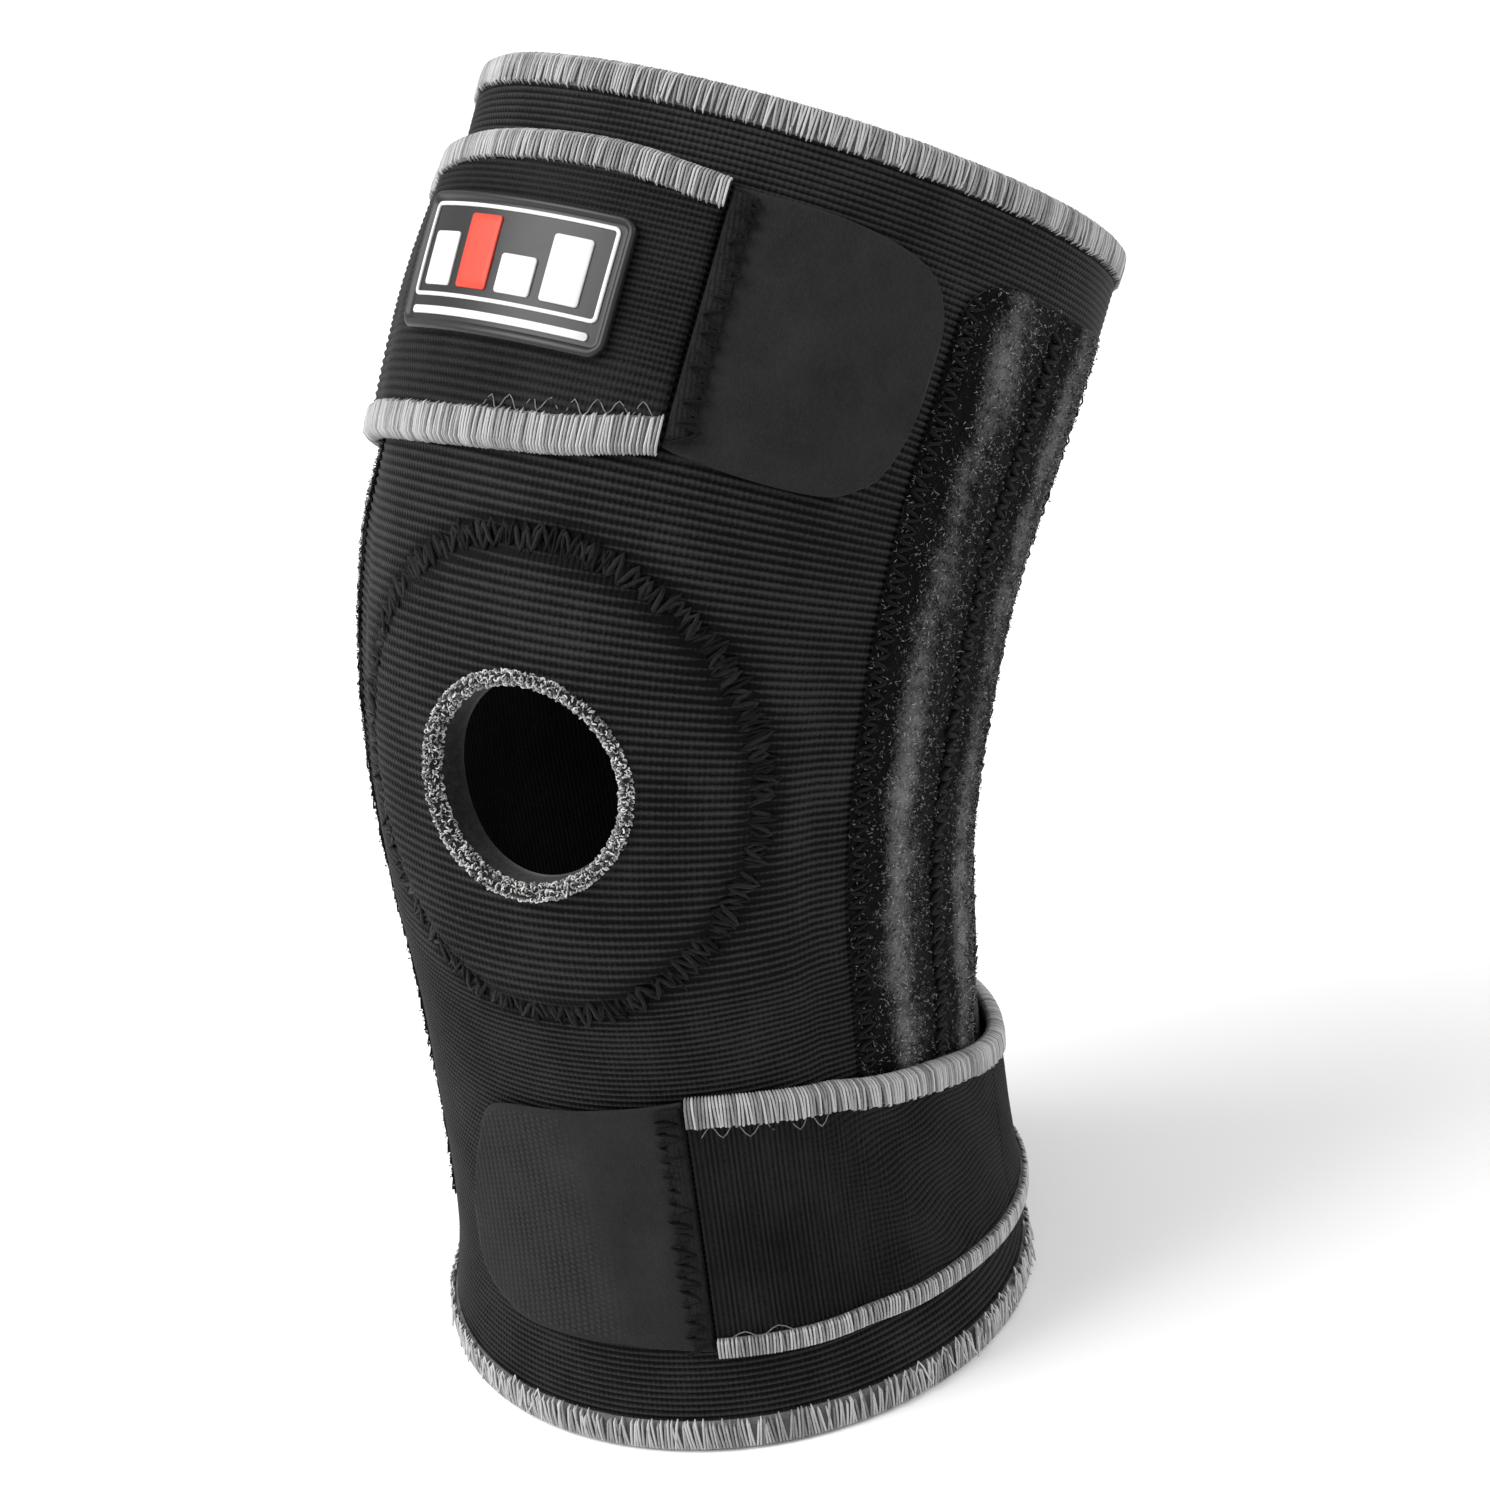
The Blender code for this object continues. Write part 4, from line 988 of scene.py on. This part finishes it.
def tab_sheet(name, outline, columns, rows, low_w, high_w, woven=plain):
    """Sheet with rolled edges whose grid follows the pattern; `woven` says where the weave shows."""
    fine = tab_outline(outline)
    away = abs(fine[:, 0] - outline[0][0])
    tip = int(np.argmax(away))
    reach = away[tip] * 0.9995
    along = reach * np.sin(np.linspace(0, math.pi / 2, columns))
    along = 0.45 * along + 0.55 * reach * np.linspace(0, 1, columns)
    along[-3:] = reach * np.array([0.985, 0.996, 1.0])
    high = np.interp(along, away[:tip + 1], fine[:tip + 1, 1])
    low = np.interp(along, away[tip:][::-1], fine[tip:][::-1, 1])
    step = np.linspace(0, 1, rows)
    step = 0.8 * step + 0.2 * (0.5 - 0.5 * np.cos(math.pi * step))
    inner = np.linspace(1, 0, rows // 4)
    up = np.concatenate([step, inner])
    top = np.concatenate([np.ones(rows), np.zeros(len(inner))])
    s = low[:, None] + (high - low)[:, None] * up
    phi = np.broadcast_to((outline[0][0] + np.sign(fine[tip, 0] - outline[0][0]) * along)[:, None], s.shape)
    rim_gap = np.minimum(np.minimum(s - low[:, None], high[:, None] - s), (reach - along[:, None]) * 0.0011)
    roll = np.sqrt(1 - (1 - np.clip(rim_gap / 0.0009, 0, 1)) ** 2)
    middle = low_w + 0.45 * (high_w - low_w)
    w = np.where(top > 0, middle + (high_w - middle) * roll, middle + (low_w - middle) * roll)
    w = np.where((top > 0) & (roll == 0), middle + 0.00008, w)
    flat = np.stack([np.radians(phi) * STRAP_RADIUS, s], -1)
    # The dots are raised and, through the hook tape's colour, painted lighter on top.
    within = woven(phi, s) * top * eased(rim_gap, 0.0008, 0.0022)
    dots = crests(np.radians(phi) * 0.0600 / 0.00150)
    dots = dots * crests(s / 0.00125 + 0.5 * np.round(np.radians(phi) * 40))
    made = mesh_object(name, on_leg(phi, s, w), skin(columns, len(up)) + caps(columns, len(up)), flat,
                       rib=within * dots, nap=within)
    return grown(outward(made), ribs, name, hook_tape, Height=0.00042, Unevenness=0.2)


# Little moulded hooks in rows on the inside of each tab.
hook_field, inputs = new_tree("hook_field", [("Spacing", "Float", 0.0016), ("Hook", "Object", None),
                                             ("Seed", "Int", 1)])
seed = inputs.outputs["Seed"]
spread = hook_field.nodes.new("GeometryNodeDistributePointsOnFaces")
spread.distribute_method = "POISSON"
hook_field.links.new(inputs.outputs[0], spread.inputs["Mesh"])
hook_field.links.new(inputs.outputs["Spacing"], spread.inputs["Distance Min"])
hook_field.links.new(seed, spread.inputs["Seed"])
spread.inputs["Density Max"].default_value = 3.0e6
one = add(hook_field, "GeometryNodeObjectInfo", {"Object": inputs.outputs["Hook"]}, out="Geometry")
laid = add(hook_field, "GeometryNodeInstanceOnPoints", {"Points": spread.outputs["Points"], "Instance": one,
                                                         "Rotation": spread.outputs["Rotation"]})
close_tree(hook_field, inputs, laid)

for strap, outline, seam_phi, turn, s_low, s_high, near, far, woven in (
        ("upper", UPPER_TAB, 17.9, 1, 0.1890, 0.2310, 21.0, 55.0, plain),
        ("lower", LOWER_TAB, 24.6, -1, 0.0275, 0.0740, 21.5, -24.0, dotted_end)):
    middle = (s_low + s_high) / 2
    peels = across_joint(spot(seam_phi + turn * 0.3, middle),
                         spot(seam_phi + turn * 11.0, middle))
    name = f"{strap}_tab"
    peels(tab_sheet(f"{name}_tape", outline, 200, 190, HOOK_LIFT, TAB_TOP, woven), "hook_tape", name)
    patch = [(near, s_high), ((near + far) / 2, s_high), (far - turn * 6, s_high - 0.002),
             (far, s_high - 0.010), (far, s_low + 0.010), (far - turn * 6, s_low + 0.002),
             ((near + far) / 2, s_low), (near, s_low)]
    pad_of_hooks = tab_sheet(f"{name}_hook_pad", patch, 40, 36, 0.00075, HOOK_LIFT - 0.0002)
    underside = bpy.data.objects.new("underside", pad_of_hooks.data.copy())
    bpy.context.collection.objects.link(underside)
    bm = bmesh.new()
    bm.from_mesh(underside.data)
    outer = Vector(spot((near + far) / 2, middle, 0.02) - spot((near + far) / 2, middle, 0.0))
    bmesh.ops.delete(bm, geom=[f for f in bm.faces if f.normal.dot(outer) > 0], context="FACES")
    bm.to_mesh(underside.data)
    bm.free()
    hook = strand_of([(0.0, 0.0), (0.0, 0.00022), (0.00010, 0.00034), (0.00022, 0.00030)], 0.00008, 4)
    field = grown(underside, hook_field, f"{name}_hooks_field", hook_tape, Spacing=0.0014, Hook=hook, Seed=3)
    bpy.data.objects.remove(hook, do_unlink=True)
    peels(pad_of_hooks, "hook_tape", f"{name}_hooks")
    peels(field, "hook_tape")
    ends = sorted(s for p, s in (outline[0], outline[-1]))
    run = np.linspace(ends[0] + 0.0012, ends[1] - 0.0012, 60)
    strip_phi = outline[0][0] + turn * np.array([0.15, 0.15, 0.6, 3.2, 3.9, 3.9])
    strip_w = np.array([0.0023, 0.0032, 0.0036, 0.0033, 0.0029, 0.0023])
    ripple = 0.00016 * np.sin(run[:, None] * 2300) + 0.0001 * np.sin(run[:, None] * 900 + 1)
    rows = on_leg(np.broadcast_to(strip_phi, (60, 6)), np.broadcast_to(run[:, None], (60, 6)),
                  strip_w + ripple * np.array([0, 0, 1, 1, 0.5, 0]))
    strip = mesh_object(f"{name}_seam_strip", rows, skin(60, 6) + caps(60, 6),
                        np.stack([rows[..., 0], rows[..., 2]], -1))
    strip.data.materials.append(elastic)
    peels(outward(strip), "hook_tape")
    column, zero = outline[0][0] + turn * 3.0, 0 * run
    stitched = seam(f"{name}_seam", column + zero, run, 0.0030 + zero, 16.0 + zero, zero, black_thread,
                    0.0034, 0.0048, 0.00048, 8, wander=0.0006)
    peels(stitched, "hook_tape")

# ---------------------------------------------------------------------------------------------
# Badge. Moulded black rubber with a raised rim and, standing on it, a pale frame and a row of
# plain bars in pale and red rubber; it is sewn on the upper strap and follows its curve.
# ---------------------------------------------------------------------------------------------
BADGE = (-39.0, 6.0, 0.1960, 0.2232)
PLATE = ON_WRAP + STRAP + GAP
FACE = PLATE + 0.0013


def rubber(name, colour, roughness):
    """Soft moulded rubber with a faint grain."""
    made = bpy.data.materials.new(name)
    made.use_nodes = True
    tree = made.node_tree
    shader = tree.nodes["Principled BSDF"]
    shader.inputs["Roughness"].default_value = roughness
    shader.inputs["Specular IOR Level"].default_value = 0.35
    cloud = add(tree, "ShaderNodeTexNoise", {"Vector": add(tree, "ShaderNodeTexCoord", out=3), "Scale": 300.0,
                                             "Detail": 4.0})
    tone = tree.nodes.new("ShaderNodeValToRGB")
    tone.color_ramp.elements[0].color = (*[c * 0.85 for c in colour], 1)
    tone.color_ramp.elements[1].color = (*[min(1.0, c * 1.1) for c in colour], 1)
    tree.links.new(cloud, tone.inputs[0])
    tree.links.new(tone.outputs[0], shader.inputs["Base Color"])
    bump = add(tree, "ShaderNodeBump", {"Height": cloud, "Distance": 0.00004, "Strength": 1.0})
    tree.links.new(bump, shader.inputs["Normal"])
    return made


black_rubber = rubber("black_rubber", (0.0105, 0.0105, 0.0108), 0.42)
pale_rubber = rubber("pale_rubber", (0.60, 0.60, 0.59), 0.5)
red_rubber = rubber("red_rubber", (0.55, 0.045, 0.022), 0.5)


def rounded(first, last, low, high, inset, corner):
    """Rounded rectangle on the pattern with points along every side."""
    per_degree = 0.0680 * math.pi / 180
    first, last = first + inset / per_degree, last - inset / per_degree
    low, high = low + inset, high - inset
    r = max(corner - inset, 0.0002)
    rp = r / per_degree
    arcs = []
    for x, y, start in ((last - rp, high - r, 0), (first + rp, high - r, 90), (first + rp, low + r, 180),
                        (last - rp, low + r, 270)):
        a = np.radians(start + np.linspace(0, 90, 7))
        arcs.append(np.stack([x + rp * np.cos(a), y + r * np.sin(a)], 1))
    out = []
    for k, arc in enumerate(arcs):
        after = arcs[(k + 1) % 4][0]
        out.append(arc)
        out.append(arc[-1] + (after - arc[-1]) * np.linspace(0, 1, 22)[1:-1, None])
    return np.vstack(out)


def moulded(name, box, corner, profile, material, ring=False):
    """Solid from rounded rectangles; the profile gives (inset, height), filled in unless it is a ring."""
    loops = [rounded(*box, inset, corner) for inset, w in profile]
    heights = [w for inset, w in profile]
    if not ring:
        centre = loops[-1].mean(0)
        for loop, w in ((loops[-1], heights[-1]), (loops[0], heights[0])):
            filled = [centre + (loop - centre) * k for k in (0.75, 0.5, 0.25, 0.02)]
            if loop is loops[-1]:
                loops, heights = loops + filled, heights + [w] * 4
            else:
                loops, heights = filled[::-1] + loops, [w] * 4 + heights
    rows = np.stack([on_leg(loop[:, 0], loop[:, 1], w) for loop, w in zip(loops, heights)])
    count = rows.shape[1]
    ends = [] if ring else caps(len(rows), count)
    made = mesh_object(name, rows, skin(len(rows), count, ring=ring) + ends)
    made.data.materials.append(material)
    return outward(made)


body = [(0.0002, PLATE), (0.0, PLATE + 0.0003), (0.0, FACE + 0.0002), (0.0002, FACE + 0.0006),
        (0.0006, FACE + 0.0007), (0.0011, FACE + 0.0006), (0.0014, FACE + 0.0001), (0.0016, FACE),
        (0.0020, FACE)]
plate = moulded("badge_body", BADGE, 0.0030, body, black_rubber)
placed = stays_on("upper_strap_end")
placed(plate, "rubber", "badge_plate", "badge_rim")
block = [(0.0, FACE - 0.0001), (0.0, FACE + 0.00025), (0.00012, FACE + 0.0004)]
border = block + [(0.00068, FACE + 0.0004), (0.0008, FACE + 0.00025), (0.0008, FACE - 0.0001)]
border = moulded("badge_border", (-36.8, 3.8, 0.2020, 0.2210), 0.0014, border, pale_rubber, ring=True)
placed(border, "pale_rubber", "badge_frame")
for number, (first, last, low, high, look) in enumerate((
        (-34.0, -27.0, 0.2042, 0.2150, pale_rubber), (-25.0, -18.0, 0.2042, 0.2190, red_rubber),
        (-16.0, -9.0, 0.2042, 0.2120, pale_rubber), (-7.0, 0.0, 0.2042, 0.2175, pale_rubber),
        (-36.0, 3.0, 0.1984, 0.2000, pale_rubber)), 1):
    bar = moulded(f"badge_block_{number}", (first, last, low, high), 0.0007, block, look)
    placed(bar, "red_rubber" if look is red_rubber else "pale_rubber", f"badge_bar_{number}")

# ---------------------------------------------------------------------------------------------
# Studio: plain pale floor, soft lights, and the camera in front, above and to the right.
# ---------------------------------------------------------------------------------------------
bpy.ops.mesh.primitive_plane_add(size=8.0, location=(0, 0, -0.0002))
floor = bpy.context.object
floor.name = "floor"
paint = bpy.data.materials.new("pale_floor")
paint.use_nodes = True
paint.node_tree.nodes["Principled BSDF"].inputs["Base Color"].default_value = (0.93, 0.93, 0.93, 1)
paint.node_tree.nodes["Principled BSDF"].inputs["Roughness"].default_value = 0.9
floor.data.materials.append(paint)
floor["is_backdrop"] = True


def soft_light(name, place, size, power):
    """Square area light that points at the middle of the brace."""
    light = bpy.data.lights.new(name, "AREA")
    light.shape, light.size, light.energy = "SQUARE", size, power
    obj = bpy.data.objects.new(name, light)
    bpy.context.collection.objects.link(obj)
    obj.location = place
    obj.rotation_euler = (Vector((0.0, 0.0, 0.13)) - Vector(place)).to_track_quat("-Z", "Y").to_euler()


soft_light("key", (-0.9, -0.8, 1.35), 1.3, 40)
soft_light("rim", (1.3, 0.7, 0.8), 0.7, 12)
soft_light("fill", (0.2, -1.5, 0.4), 1.2, 2.5)
world = bpy.data.worlds.new("room")
world.use_nodes = True
world.node_tree.nodes["Background"].inputs[0].default_value = (1, 1, 1, 1)
world.node_tree.nodes["Background"].inputs[1].default_value = 0.68
bpy.context.scene.world = world
bpy.context.scene.view_settings.view_transform = "Standard"

AZIMUTH, ELEVATION, ROLL = math.radians(30.26), math.radians(26.29), math.radians(7.64)
DISTANCE = 0.92
aim = Vector((0.0, 0.02, 0.1265)) - Vector(ORIGIN)
back = Vector((math.sin(AZIMUTH) * math.cos(ELEVATION), -math.cos(AZIMUTH) * math.cos(ELEVATION),
               math.sin(ELEVATION)))
lens = bpy.data.cameras.new("camera")
lens.lens, lens.sensor_width = 105.6, 36.0
lens.shift_x, lens.shift_y = 0.0197, -0.0162
camera = bpy.data.objects.new("camera", lens)
bpy.context.collection.objects.link(camera)
turned = back.to_track_quat("Z", "Y").to_matrix().to_4x4()
camera.matrix_world = turned @ Matrix.Rotation(-ROLL, 4, "Z")
camera.location = aim + back * DISTANCE
bpy.context.scene.camera = camera

low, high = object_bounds()
